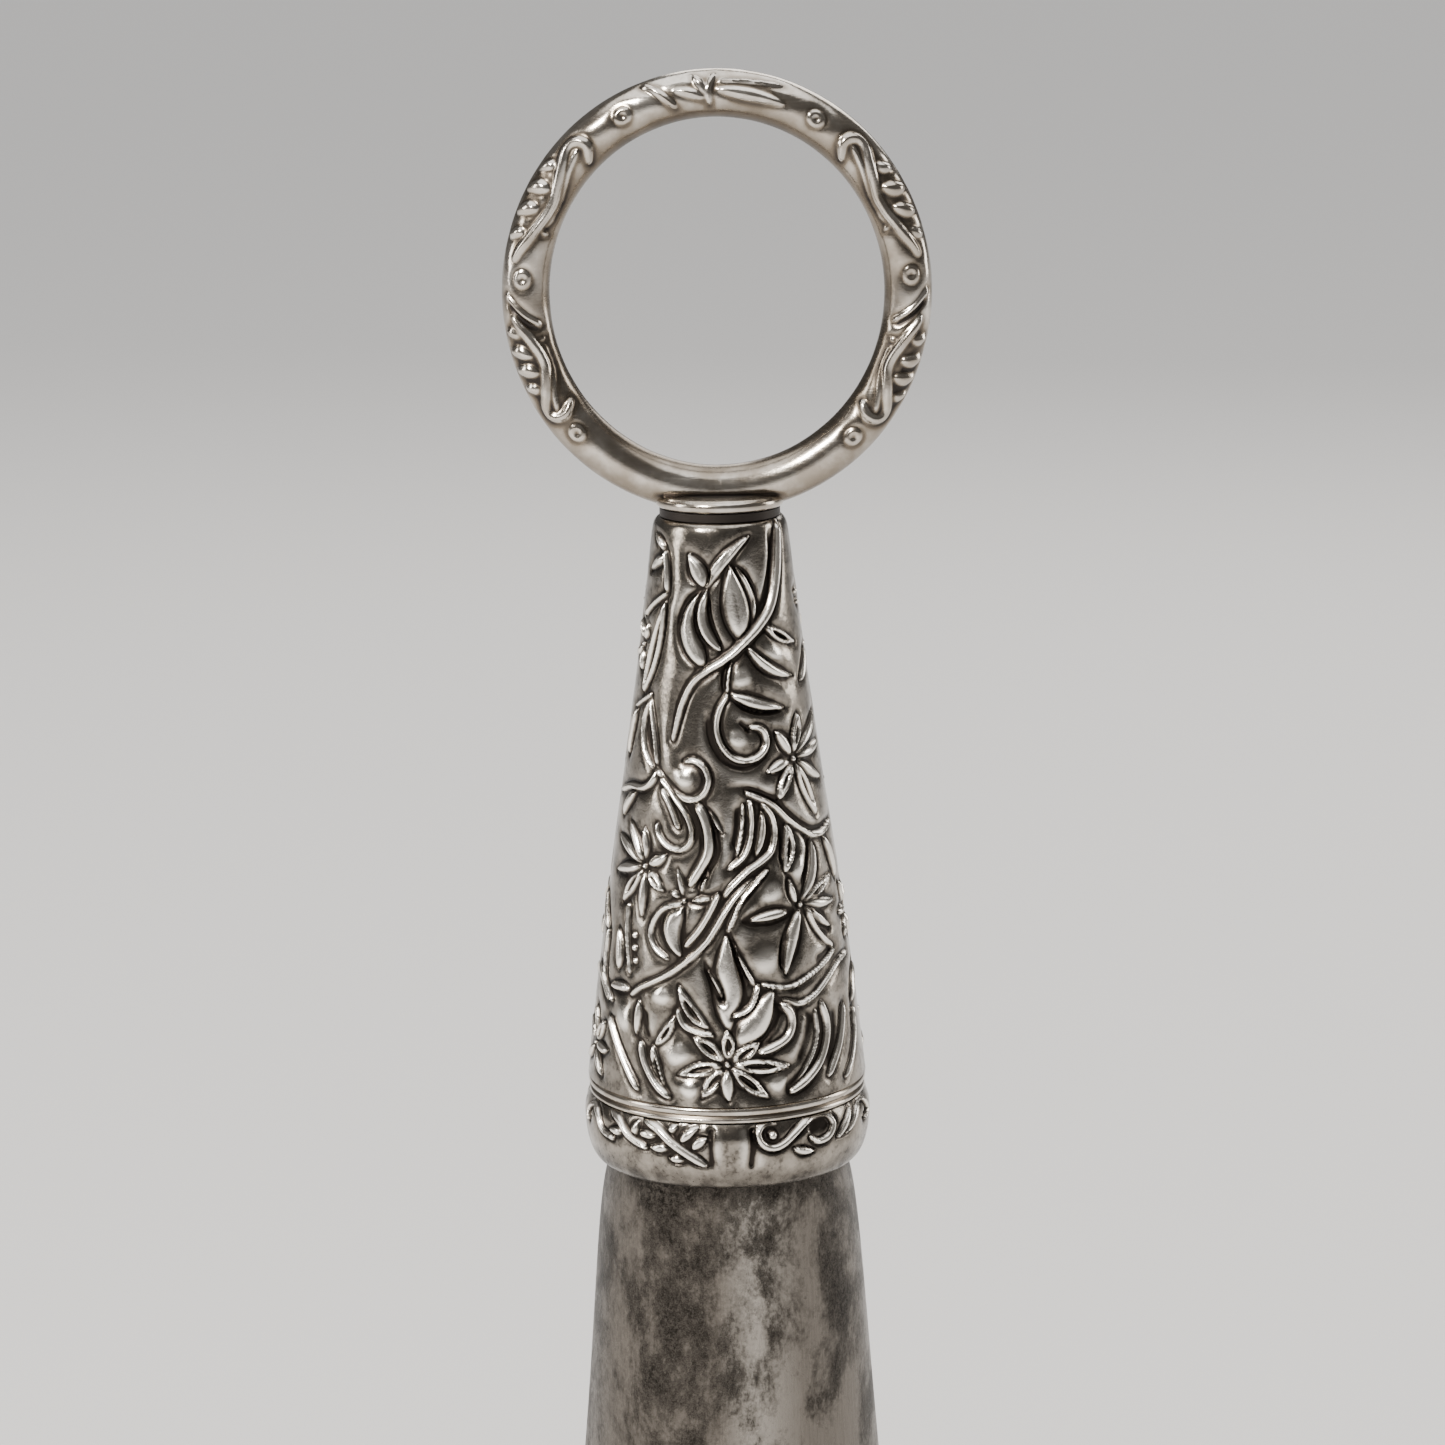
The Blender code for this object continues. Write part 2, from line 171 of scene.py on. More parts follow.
class Relief:
    """Height of stamped work over a grid of (across, down) places; later work lies on earlier."""

    def __init__(self, across, down, rise=0.23, sink=0.21):
        self.across = across
        self.down = down
        self.rise = rise
        self.sink = sink
        self.height = np.zeros_like(across)

    def nearest(self, route, reach):
        """Window round a route, and for its cells the distance to the route and the share along it."""
        low, high = route.min(0) - reach, route.max(0) + reach
        inside = (self.across > low[0]) & (self.across < high[0])
        inside &= (self.down > low[1]) & (self.down < high[1])
        rows, columns = np.nonzero(inside.any(1))[0], np.nonzero(inside.any(0))[0]
        if len(rows) == 0 or len(columns) == 0:
            return None
        window = (slice(rows[0], rows[-1] + 1), slice(columns[0], columns[-1] + 1))
        x, y = self.across[window], self.down[window]
        steps = np.diff(route, axis=0)
        lengths = np.maximum(np.hypot(steps[:, 0], steps[:, 1]), 1e-6)
        starts = np.concatenate([[0.0], np.cumsum(lengths)])
        distance = np.full(x.shape, np.inf)
        along = np.zeros(x.shape)
        for (px, py), (dx, dy), length, start in zip(route, steps, lengths, starts):
            t = np.clip(((x - px) * dx + (y - py) * dy) / length**2, 0, 1)
            away = np.hypot(x - px - t * dx, y - py - t * dy)
            closer = away < distance
            distance = np.where(closer, away, distance)
            along = np.where(closer, (start + t * length) / starts[-1], along)
        return window, distance, along

    def lay(self, window, beyond, body):
        """Put body where beyond < 0; outside it the ground dips broadly, then cuts in at its edge."""
        ground = self.height[window]
        away = np.maximum(beyond, 0)
        groove = GROOVE_SHARE * np.exp(-((away / GROOVE_WIDTH) ** 2))
        edge = groove + DIP_SHARE * np.exp(-((away / DIP_WIDTH) ** 2))
        fallen = ground * (1 - edge) - self.sink * edge
        self.height[window] = np.where(beyond < 0, body, fallen)

    def stem(self, points, half_width, end_width=None):
        """Raised rib along a route: round across, narrowing at both ends and, if asked, all along."""
        found = self.nearest(smooth_route(points), half_width + DIP_REACH)
        if found is None:
            return
        window, distance, along = found
        narrow = np.clip(np.minimum(along, 1 - along) * 9, 0, 1) ** 0.5
        width = half_width + ((end_width or half_width) - half_width) * along
        width = width * (STEM_END + (1 - STEM_END) * narrow)
        q = np.clip(distance / width, 0, 1)
        self.lay(window, distance - width, (self.rise + self.sink) * (1 - q**2) ** 0.75 - self.sink)

    def leaf(self, half_width, bend, base, tip, hollow=False):
        """Pointed leaf on a bowed axis: domed with a vein, or a rim round a sunk middle."""
        found = self.nearest(bowed_axis(base, tip, bend), half_width + DIP_REACH)
        if found is None:
            return
        window, distance, along = found
        width = half_width * np.clip(np.sin(math.pi * along**0.85), 0, 1) ** 0.8 + 0.02
        beyond = distance - width
        q = np.clip(distance / width, 0, 1)
        full = self.rise + self.sink
        if hollow:
            rim = min(0.16, half_width * 0.42)
            crest = np.clip(1 - (np.abs(beyond + rim) / rim) ** 2, 0, 1) ** 0.6
            body = full * crest - self.sink * np.where(beyond < -rim, 1.15, 1.0)
        else:
            vein = VEIN_DEPTH * np.exp(-((distance / VEIN_WIDTH) ** 2))
            body = full * (1 - q**2) ** 0.8 - self.sink - vein
        self.lay(window, beyond, body)

    def flower(self, centre, tips, half_width, hollow):
        """Petals from round a centre out to the given tips, and a small boss in the middle."""
        centre = np.array(centre, float)
        for index, tip in enumerate(tips):
            run = np.array(tip, float) - centre
            base = centre + run / np.hypot(*run) * PETAL_ROOT
            self.leaf(half_width, 0.06, base, tip, hollow=index in hollow)
        self.boss(centre, FLOWER_BOSS)

    def boss(self, centre, radius, pit=0.0):
        """Round dot, with a pit in it if asked."""
        found = self.nearest(np.array([centre, centre], float), radius + BOSS_DIP_REACH)
        if found is None:
            return
        window, distance, _ = found
        q = np.clip(distance / radius, 0, 1)
        body = (self.rise + self.sink) * (1 - q**2.4) ** 0.6 - self.sink
        body = body - pit * np.exp(-((distance / (radius * 0.5)) ** 2))
        self.lay(window, distance - radius, body)

    def bed(self, half_width, bend, base, tip):
        """Leaf-shaped hollow with soft sides."""
        found = self.nearest(bowed_axis(base, tip, bend), half_width)
        if found is None:
            return
        window, distance, along = found
        width = half_width * np.clip(np.sin(math.pi * along), 0, 1) ** 0.5 + 0.05
        self.height[window] -= BED_DEPTH * np.clip(1 - (distance / width) ** 2, 0, 1) ** 0.7

    def swell(self, centre, radius):
        """Low cushion."""
        away = np.hypot(self.across - centre[0], self.down - centre[1]) / radius
        self.height += SWELL_RISE * np.clip(1 - away**2, 0, 1) ** 2

    def score(self, points, half_width=0.12, depth=0.16):
        """Cut line that runs out at both ends."""
        found = self.nearest(smooth_route(points), half_width * 3)
        if found is None:
            return
        window, distance, along = found
        run_out = np.clip(np.minimum(along, 1 - along) * 6, 0, 1)
        self.height[window] -= depth * run_out * np.exp(-((distance / half_width) ** 2))

    def unevenness(self, seed, cells, amount):
        """Hand-made waviness: blurred seeded noise."""
        noise = np.random.default_rng(seed).standard_normal(self.height.shape)
        soft = box_blur(noise, cells, 3)
        self.height += amount * soft / np.abs(soft).max()

    def wear(self, share):
        """Rub the edges round: a share of the height gives way to the mean of its neighbours."""
        self.height += share * (box_blur(self.height, 1) - self.height)

    def tone(self):
        """0 in recesses, 0.5 on plain ground, 1 on crests.

        It follows the height less its mean, near and wide. The near part follows the oxide in the
        hollows and the rubbed crests; the wide part is painted shade over broad low areas and painted
        highlight over broad raised ones, and counts for less above the mean than below it.
        """
        near = self.height - box_blur(self.height, NEAR_CELLS)
        # Painted shade and painted highlight: broad low areas darker, broad raised areas lighter.
        wide = self.height - box_blur(self.height, WIDE_CELLS)
        wide_gain = np.where(wide > 0, RAISED_GAIN, SUNK_GAIN)
        return np.clip(0.5 + NEAR_GAIN * near + wide_gain * wide, 0, 1)


# ---------------------------------------------------------------- mesh from grids

SHARP_ANGLE = math.radians(50)


def make_piece(name, points, faces, finish, nodes, tones=None):
    """Mesh object from millimetre points; it rides on the one body and stands for its CAD nodes."""
    mesh = bpy.data.meshes.new(name)
    mesh.from_pydata((points * MM).tolist(), [], faces)
    mesh.validate()
    mesh.shade_smooth()
    mesh.set_sharp_from_angle(angle=SHARP_ANGLE)
    if tones is not None:
        attribute = mesh.attributes.new("tone", "FLOAT", "POINT")
        attribute.data.foreach_set("value", tones.astype(np.float32))
    mesh.materials.append(finish)
    piece = bpy.data.objects.new(name, mesh)
    bpy.context.scene.collection.objects.link(piece)
    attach(piece, "root")
    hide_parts(*nodes)
    return piece


def grid_faces(rows, columns, close_rows, close_columns):
    """Quads of a rows by columns grid, joined round in either direction when it closes."""
    r = np.arange(rows if close_rows else rows - 1)[:, None]
    c = np.arange(columns if close_columns else columns - 1)[None, :]
    next_r, next_c = (r + 1) % rows, (c + 1) % columns
    corners = [r * columns + c, next_r * columns + c, next_r * columns + next_c, r * columns + next_c]
    return np.stack([np.broadcast_to(k, (r.size, c.size)) for k in corners], -1).reshape(-1, 4).tolist()


def end_caps(rows, columns):
    """Flat faces over the first and the last row of a grid that is joined round."""
    row = np.arange(columns)
    return [row.tolist(), (row[::-1] + (rows - 1) * columns).tolist()]


def turned_points(radius, down, angle):
    """Points at a radius and a depth, turned to an angle measured from the front."""
    radius, down, angle = np.broadcast_arrays(radius, down, angle)
    return np.stack([radius * np.sin(angle), -radius * np.cos(angle), -down], -1)


# ---------------------------------------------------------------- handle shells

def shell_radius(down):
    """Straight taper, slightly waisted above and full below, with a rounded top shoulder."""
    depth = down - SHELL_TOP
    share = depth / (SHELL_BOTTOM - SHELL_TOP)
    taper = SHELL_TOP_RADIUS + (SHELL_FOOT_RADIUS - SHELL_TOP_RADIUS) * share
    waist = SHELL_WAIST * np.sin(TAU * (share - 0.5))
    return taper + waist - SHELL_SHOULDER * np.exp(-depth / SHELL_SHOULDER_REACH)


MAIN_STEM = [(4.3, 14.4), (4.2, 16.4), (3.9, 18.2), (3.4, 19.6), (2.5, 20.7), (1.5, 21.6), (0.3, 22.6)]
MAIN_STEM += [(-0.9, 23.3), (-1.9, 24.1), (-2.6, 25.3), (-3.0, 26.5), (-3.35, 27.8)]

STEMS = [
    # half width, then the route: from the neck down
    (0.20, [(-4.0, 16.1), (-3.8, 17.4), (-3.9, 18.8)]),
    (0.17, [(-3.9, 18.7), (-5.0, 19.35), (-6.4, 20.3)]),
    (0.14, [(-5.3, 25.2), (-6.1, 25.6), (-7.3, 26.2)]),
    (0.14, [(1.25, 22.3), (0.65, 22.8), (0.4, 23.7), (0.3, 24.9)]),
    (0.25, [(-4.65, 29.7), (-5.0, 30.5), (-5.9, 31.1), (-7.4, 31.25), (-9.2, 31.8)]),
    (0.22, [
        (1.5, 31.05), (2.5, 31.5), (3.5, 32.1), (4.4, 32.95),
        (5.6, 33.75), (6.6, 34.3), (8.0, 34.4), (9.6, 34.0),
    ]),
    (0.14, [(1.25, 31.8), (1.2, 33.0), (1.05, 34.0), (0.8, 35.0)]),
    (0.20, [(1.7, 31.6), (1.8, 33.0), (1.65, 34.2), (1.2, 35.1), (0.3, 35.8)]),
    (0.22, [
        (2.6, 31.9), (3.15, 32.6), (3.4, 33.6), (3.15, 34.8),
        (2.4, 35.45), (1.5, 36.0), (0.5, 36.9), (0.0, 37.5),
    ]),
    (0.40, [(-1.7, 31.7), (-1.25, 32.7), (-1.0, 33.7), (-1.05, 34.8), (-1.55, 35.8), (-2.2, 36.8)]),
    (0.24, [(-0.4, 37.4), (-1.0, 38.6), (-1.7, 39.7), (-2.6, 40.7)]),
    (0.22, [
        (1.9, 36.5), (0.8, 37.5), (0.1, 38.4), (-0.6, 39.5), (-1.2, 40.4), (-2.0, 41.2),
        (-3.1, 42.1), (-4.2, 42.8), (-5.2, 43.3), (-6.2, 43.8), (-6.8, 44.3),
    ]),
    (0.16, [(2.8, 36.0), (1.8, 37.0), (0.95, 38.0), (0.6, 38.8), (0.2, 39.7)]),
    (0.20, [(-2.9, 38.1), (-4.0, 38.4), (-4.8, 39.2), (-5.15, 40.2), (-4.7, 41.1), (-3.9, 41.6)]),
    (0.19, [(-7.2, 38.6), (-7.3, 40.6), (-7.0, 42.9)]),
    (0.20, [(-9.9, 40.8), (-10.2, 42.5), (-10.1, 44.0), (-9.0, 45.1)]),
    (0.20, [(2.1, 43.2), (1.8, 44.2), (1.3, 44.8), (0.5, 45.1)]),
    (0.22, [(-3.2, 44.8), (-2.8, 45.7), (-2.0, 46.1), (-0.9, 46.3)]),
    (0.19, [(5.9, 38.9), (6.4, 39.9), (7.2, 40.8), (8.4, 41.7)]),
    (0.17, [(2.4, 43.2), (3.6, 43.5), (4.6, 43.5), (5.8, 43.1), (7.1, 42.6), (8.6, 41.9)]),
    (0.20, [(3.8, 44.3), (5.0, 44.7), (6.2, 44.4), (7.5, 43.6), (8.9, 42.8), (10.6, 42.5)]),
    (0.30, [(3.7, 44.6), (4.3, 45.1), (4.45, 45.9), (4.1, 46.7), (3.2, 47.2), (2.2, 47.5)]),
    (0.30, [(-5.95, 47.2), (-5.75, 48.2), (-5.2, 49.2), (-4.6, 49.9), (-3.9, 50.4)]),
    (0.30, [(-9.2, 46.2), (-8.2, 47.7), (-7.3, 48.9), (-6.3, 50.2)]),
    (0.17, [(6.3, 45.4), (6.4, 46.8), (6.0, 48.0), (5.0, 49.3), (4.2, 49.9)]),
    (0.31, [(6.9, 45.0), (7.35, 46.3), (7.2, 47.6), (6.6, 48.7), (5.5, 49.6), (4.3, 50.2)]),
    (0.28, [(9.3, 45.6), (9.0, 47.0), (8.4, 48.3), (7.4, 49.7)]),
    (0.24, [(11.0, 46.2), (10.9, 47.8), (10.1, 49.3), (9.2, 50.2)]),
]

SCROLLS = [
    (0.25, [
        (0.3, 24.9), (-0.2, 25.8), (-0.4, 26.9), (-0.1, 28.0), (0.6, 28.8), (1.5, 29.05),
        (2.4, 28.8), (2.9, 28.15), (2.8, 27.4), (2.3, 27.0), (1.8, 27.0),
    ]),
    (0.25, [
        (-4.6, 29.9), (-3.9, 30.6), (-3.0, 31.3), (-2.15, 31.5), (-1.3, 31.1),
        (-0.95, 30.2), (-1.25, 29.4), (-1.9, 29.0), (-2.5, 29.1),
    ]),
    (0.21, [
        (-4.3, 30.4), (-3.3, 31.5), (-2.5, 32.4), (-2.1, 33.4), (-2.3, 34.3),
        (-3.1, 34.7), (-4.0, 34.4), (-4.5, 33.8), (-4.6, 33.2),
    ]),
    (0.22, [(-4.2, 31.0), (-3.5, 32.1), (-3.0, 33.3)]),
]

LEAVES = [
    # half width, bend, base, tip
    (0.85, -1.05, (-1.0, 23.2), (-1.0, 18.2)),
    (0.50, -0.75, (0.0, 22.1), (-0.85, 18.2)),
    (0.45, 0.40, (2.0, 20.6), (0.9, 16.8)),
    (0.92, -0.10, (1.5, 21.7), (0.6, 16.8)),
    (0.42, -0.30, (-1.0, 18.2), (1.9, 15.0)),
    (0.60, 0.10, (-1.1, 18.1), (-2.1, 16.1)),
    (0.36, 0.45, (1.7, 21.9), (5.3, 24.1)),
    (0.44, 0.20, (0.5, 24.8), (4.4, 26.0)),
    (0.26, 0.10, (-4.0, 16.2), (-5.2, 15.1)),
    (0.34, 0.10, (-3.9, 16.4), (-6.0, 17.5)),
    (0.20, 0.05, (-1.0, 32.1), (-0.1, 33.5)),
    (0.13, 0.05, (-1.1, 36.1), (-1.55, 37.3)),
    (0.30, 0.20, (2.1, 35.0), (2.5, 32.2)),
    (0.46, 0.55, (5.4, 38.3), (6.4, 34.5)),
    (0.55, 0.15, (5.2, 38.8), (4.0, 42.7)),
    (0.75, 0.75, (-2.7, 38.1), (-2.9, 41.4)),
    (0.45, 0.10, (-8.2, 42.9), (-8.3, 40.3)),
    (1.00, 0.00, (0.2, 46.0), (0.1, 40.0)),
    (0.17, 0.10, (-0.2, 44.1), (-1.2, 42.2)),
    (0.16, -0.10, (2.0, 43.4), (0.6, 40.7)),
    (1.10, 0.10, (0.6, 47.3), (3.1, 43.6)),
    (0.30, 0.00, (-6.1, 44.5), (-6.4, 46.8)),
    (0.35, 0.10, (-7.0, 44.0), (-9.3, 44.2)),
    (0.40, 0.20, (-7.0, 26.0), (-8.2, 29.4)),
    (0.42, 0.20, (-6.6, 31.3), (-8.4, 33.2)),
    (0.42, -0.20, (8.0, 34.6), (9.6, 37.6)),
    (0.45, 0.20, (-9.6, 45.2), (-11.8, 43.2)),
    (0.45, -0.30, (-9.9, 40.9), (-11.2, 38.4)),
    (0.45, -0.20, (10.9, 45.9), (12.6, 43.6)),
    (0.35, 0.20, (6.2, 24.6), (7.6, 22.6)),
]

SUNK_LEAVES = [
    (0.34, 0.15, (2.95, 20.7), (5.9, 22.1)),
    (0.48, 0.15, (-6.2, 25.2), (-3.95, 19.1)),
    (0.72, -0.45, (-4.7, 30.0), (-5.3, 25.3)),
    (0.42, 0.30, (4.1, 36.3), (4.25, 33.1)),
    (0.42, -0.30, (-1.1, 45.9), (-3.1, 43.2)),
    (0.32, 0.15, (-4.85, 47.2), (-3.35, 45.1)),
    (0.32, 0.20, (-5.0, 47.2), (-4.0, 50.3)),
]

BEDDED_LEAVES = [
    # a leaf lying in a wide dark bed
    (0.35, 0.05, (4.2, 38.8), (1.6, 39.1)),
    (0.15, 0.02, (-2.1, 37.85), (-0.5, 37.55)),
    (0.20, 0.00, (4.9, 38.3), (4.4, 36.8)),
]

FLOWERS = [
    # centre, petal half width, the petals' tips, which petals are sunk
    ((5.1, 29.3), 0.40, [
        (3.6, 27.4), (2.95, 29.9), (5.6, 26.5), (8.2, 26.8),
        (8.6, 28.7), (8.2, 31.0), (7.3, 33.2), (3.7, 31.8),
    ], (2, 6, 7)),
    ((-5.7, 36.0), 0.38, [
        (-5.7, 33.6), (-3.9, 35.1), (-4.1, 37.4), (-5.9, 39.2),
        (-7.9, 38.6), (-9.0, 36.8), (-8.8, 34.5), (-7.3, 33.4),
    ], (2, 4)),
    ((-2.7, 37.9), 0.20, [(-3.1, 35.9), (-3.6, 37.4)], ()),
    ((5.3, 38.5), 0.36, [(8.6, 37.1), (8.9, 38.8), (8.2, 40.4)], (0,)),
    ((0.05, 48.2), 0.44, [
        (0.05, 46.0), (-2.2, 46.4), (2.2, 46.8), (4.2, 48.5),
        (-3.2, 48.9), (-1.6, 50.3), (2.7, 50.4), (0.1, 50.5),
    ], (0, 1, 2, 3, 4, 5, 6)),
    ((-11.6, 48.4), 0.40, [
        (-11.6, 45.9), (-9.9, 46.6), (-9.4, 48.4), (-10.1, 50.2), (-13.2, 46.9), (-13.4, 49.8),
    ], (0, 1, 4)),
    ((11.6, 39.9), 0.38, [(10.3, 38.0), (12.2, 37.8), (9.7, 39.9), (10.6, 41.6), (12.3, 41.8)], (0, 3)),
    ((-6.6, 22.2), 0.30, [(-5.9, 20.9), (-7.3, 20.7), (-7.6, 23.0), (-6.6, 23.8)], (1,)),
]

BOSSES = [
    # radius, centre
    (0.22, (-6.55, 40.5)),
    (0.22, (-6.6, 41.3)),
    (0.20, (-6.5, 42.1)),
    (0.22, (6.6, 19.0)),
    (0.20, (6.9, 19.7)),
]

CUTS = [
    # half width, then the route: the darkest, widest grooves
    (0.22, [(3.5, 14.5), (3.6, 16.4), (3.1, 18.4), (2.4, 19.9)]),
    (0.20, [(1.6, 15.15), (0.7, 15.8), (-0.1, 16.8), (-0.8, 17.9)]),
    (0.22, [(0.8, 16.9), (1.6, 17.4), (2.1, 18.5), (2.2, 19.6)]),
    (0.22, [(-1.2, 18.35), (-2.1, 18.9), (-2.65, 19.8), (-2.85, 20.7)]),
    (0.20, [(-0.85, 18.7), (-0.9, 20.0), (-0.5, 21.2), (0.1, 22.0)]),
    (0.20, [(-4.6, 16.75), (-5.3, 17.0), (-6.0, 17.6)]),
    (0.20, [(3.5, 20.9), (4.5, 21.6), (5.7, 22.1)]),
    (0.16, [(1.0, 26.5), (1.4, 26.9), (1.9, 27.3)]),
    (0.15, [(0.7, 22.6), (0.1, 23.6), (0.0, 24.6)]),
    (0.17, [(0.7, 25.2), (1.6, 25.8), (2.9, 26.1), (4.4, 26.0)]),
    (0.18, [(-1.0, 25.8), (-0.95, 27.4), (-0.4, 28.6), (0.5, 29.35), (1.6, 29.5), (2.6, 29.2)]),
    (0.20, [
        (0.1, 30.65), (1.2, 30.7), (2.4, 31.1), (3.5, 31.65), (4.4, 32.5),
        (5.4, 33.3), (6.6, 33.85), (8.0, 34.0), (9.4, 33.6),
    ]),
    (0.20, [
        (-0.95, 32.4), (-0.6, 33.4), (-0.35, 34.3), (-0.5, 35.2),
        (-1.1, 35.9), (-1.65, 36.7), (-1.85, 37.5),
    ]),
    (0.20, [(0.85, 31.7), (0.75, 33.2), (0.5, 34.6)]),
    (0.16, [(5.0, 33.5), (5.7, 33.9), (6.1, 34.6), (6.15, 35.4), (5.85, 36.4), (5.3, 37.4)]),
    (0.16, [(3.75, 32.8), (3.95, 34.2), (3.75, 35.8)]),
    (0.17, [(0.25, 39.7), (0.6, 41.0), (1.05, 42.3), (1.35, 43.4)]),
    (0.20, [(-1.45, 41.1), (-1.3, 41.9), (-0.9, 42.8), (-0.4, 43.7), (-0.1, 44.6)]),
    (0.20, [(3.3, 44.0), (3.55, 44.9), (3.2, 45.9), (2.5, 46.7), (1.8, 47.1)]),
    (0.30, [(5.0, 45.3), (5.7, 45.6), (5.6, 46.6), (5.2, 47.6), (4.6, 48.7)]),
    (0.30, [(8.0, 45.3), (8.1, 46.5), (7.8, 47.8), (7.0, 49.2)]),
    (0.26, [(6.4, 42.2), (7.3, 42.0), (8.3, 41.9)]),
    (0.20, [(4.15, 40.2), (3.85, 41.2), (3.7, 42.4)]),
    (0.20, [(-5.6, 45.0), (-5.5, 46.2), (-5.2, 47.0)]),
    (0.22, [(6.5, 39.2), (7.2, 40.1), (8.4, 40.9)]),
]

SWELLS = [
    # radius, centre: ground raised like a cushion
    (0.9, (-2.6, 30.1)),
    (1.2, (3.4, 22.7)),
    (1.0, (1.2, 23.8)),
    (0.9, (0.9, 27.6)),
    (1.3, (2.6, 41.6)),
    (1.2, (-3.2, 47.6)),
    (0.9, (-2.4, 49.7)),
    (0.9, (3.3, 49.4)),
    (1.2, (-7.5, 45.9)),
    (1.0, (-4.4, 43.9)),
    (1.0, (3.0, 37.4)),
    (0.9, (5.0, 36.0)),
]


def stamp_handle(relief):
    """The die's pattern: cushions and leaves, flowers over them, then the stems that tie them."""
    for radius, centre in SWELLS:
        relief.swell(centre, radius)
    for half_width, bend, base, tip in LEAVES:
        relief.leaf(half_width, bend, base, tip)
    for half_width, bend, base, tip in SUNK_LEAVES:
        relief.leaf(half_width, bend, base, tip, hollow=True)
    for centre, half_width, tips, sunk in FLOWERS:
        relief.flower(centre, tips, half_width, sunk)
    for half_width, bend, base, tip in BEDDED_LEAVES:
        overrun = (np.array(tip) - np.array(base)) * 0.22
        relief.bed(half_width + 0.3, bend, base - overrun, tip + overrun)
        relief.leaf(half_width, bend, base, tip)
    for half_width, route in STEMS + SCROLLS:
        relief.stem(route, half_width)
    relief.stem(MAIN_STEM, 0.45, 0.2)
    for radius, centre in BOSSES:
        relief.boss(centre, radius)
    for half_width, route in CUTS:
        relief.score(route, half_width)


INSIDE_TONE = 0.3


def make_handle_shell(name, node, facing, finish):
    """Half shell: the stamped outside swept half way round, a plain inside, and flat seams."""
    rows, columns, inner_rows = 366, 258, 7
    down = np.linspace(SHELL_TOP, SHELL_BOTTOM, rows)[:, None]
    angle = np.linspace(-math.pi / 2, math.pi / 2, columns)[None, :]
    radius = shell_radius(down)
    relief = Relief(radius * angle, np.broadcast_to(down, (rows, columns)))
    stamp_handle(relief)
    relief.wear(0.6)
    relief.unevenness(seed=4, cells=5, amount=0.02)
    top_fade = np.clip((down - SHELL_TOP) / TOP_FADE, 0, 1)
    foot_fade = np.clip((SHELL_BOTTOM - down) / FOOT_FADE, 0, 1)
    height = relief.height * (top_fade * foot_fade)
    outside = turned_points(radius + height, down, angle)
    inner_down = np.linspace(SHELL_BOTTOM, SHELL_TOP, inner_rows)[:, None]
    inner_radius = np.minimum(shell_radius(inner_down), shell_radius(inner_down + 0.6)) - SHELL_WALL
    inside = turned_points(inner_radius, np.broadcast_to(inner_down, (inner_rows, columns)), angle)
    points = np.concatenate([outside, inside]) + np.array([0, -SEAM_GAP, 0])
    total = rows + inner_rows
    faces = grid_faces(total, columns, True, False)
    seam = np.arange(total) * columns
    faces.append(seam[::-1].tolist())
    faces.append((seam + columns - 1).tolist())
    tones = np.concatenate([relief.tone(), np.full((inner_rows, columns), INSIDE_TONE)])
    points = points.reshape(-1, 3) * np.array([facing, facing, 1])
    return make_piece(name, points, faces, finish, [node], tones.ravel())


# ---------------------------------------------------------------- ring

# Ring ornament: (along the ring from the scroll's hook, outward over the rod).
RING_SCROLL = [
    (0.75, -0.93), (0.32, -0.4), (0.1, 0.0), (0.2, 0.53), (0.65, 0.93),
    (1.3, 0.88), (1.95, 0.48), (2.8, 0.05), (3.65, -0.32), (4.3, -0.48),
    (5.2, -0.4), (6.05, -0.13), (6.9, 0.21), (7.75, 0.67), (8.3, 0.9),
]
RING_UNDERLINE = [
    (0.55, 0.35), (1.1, 0.1), (1.95, -0.2), (3.0, -0.65),
    (4.1, -0.95), (5.4, -0.9), (5.9, -0.7),
]
RING_LOBES = [
    # half width, bend, base, tip
    (0.36, 0.20, (2.2, 0.4), (3.1, 1.7)),
    (0.46, 0.20, (3.7, 0.1), (4.4, 1.8)),
    (0.44, 0.20, (5.1, 0.2), (5.8, 1.8)),
    (0.34, 0.15, (6.7, 0.5), (7.2, 1.8)),
    (0.20, 0.05, (6.05, -0.2), (6.4, -1.1)),
    (0.30, -0.10, (1.9, 0.0), (0.6, 0.55)),
]
RING_DOTS = (-133, -85, -28, 31, 85, 136)
RING_GROUPS = [
    # where the hook lies, in degrees from the top, which way it runs, and its size
    (41, 1, 1.0),
    (129, -1, 0.82),
    (-41, -1, 1.0),
    (-127, 1, 0.82),
]


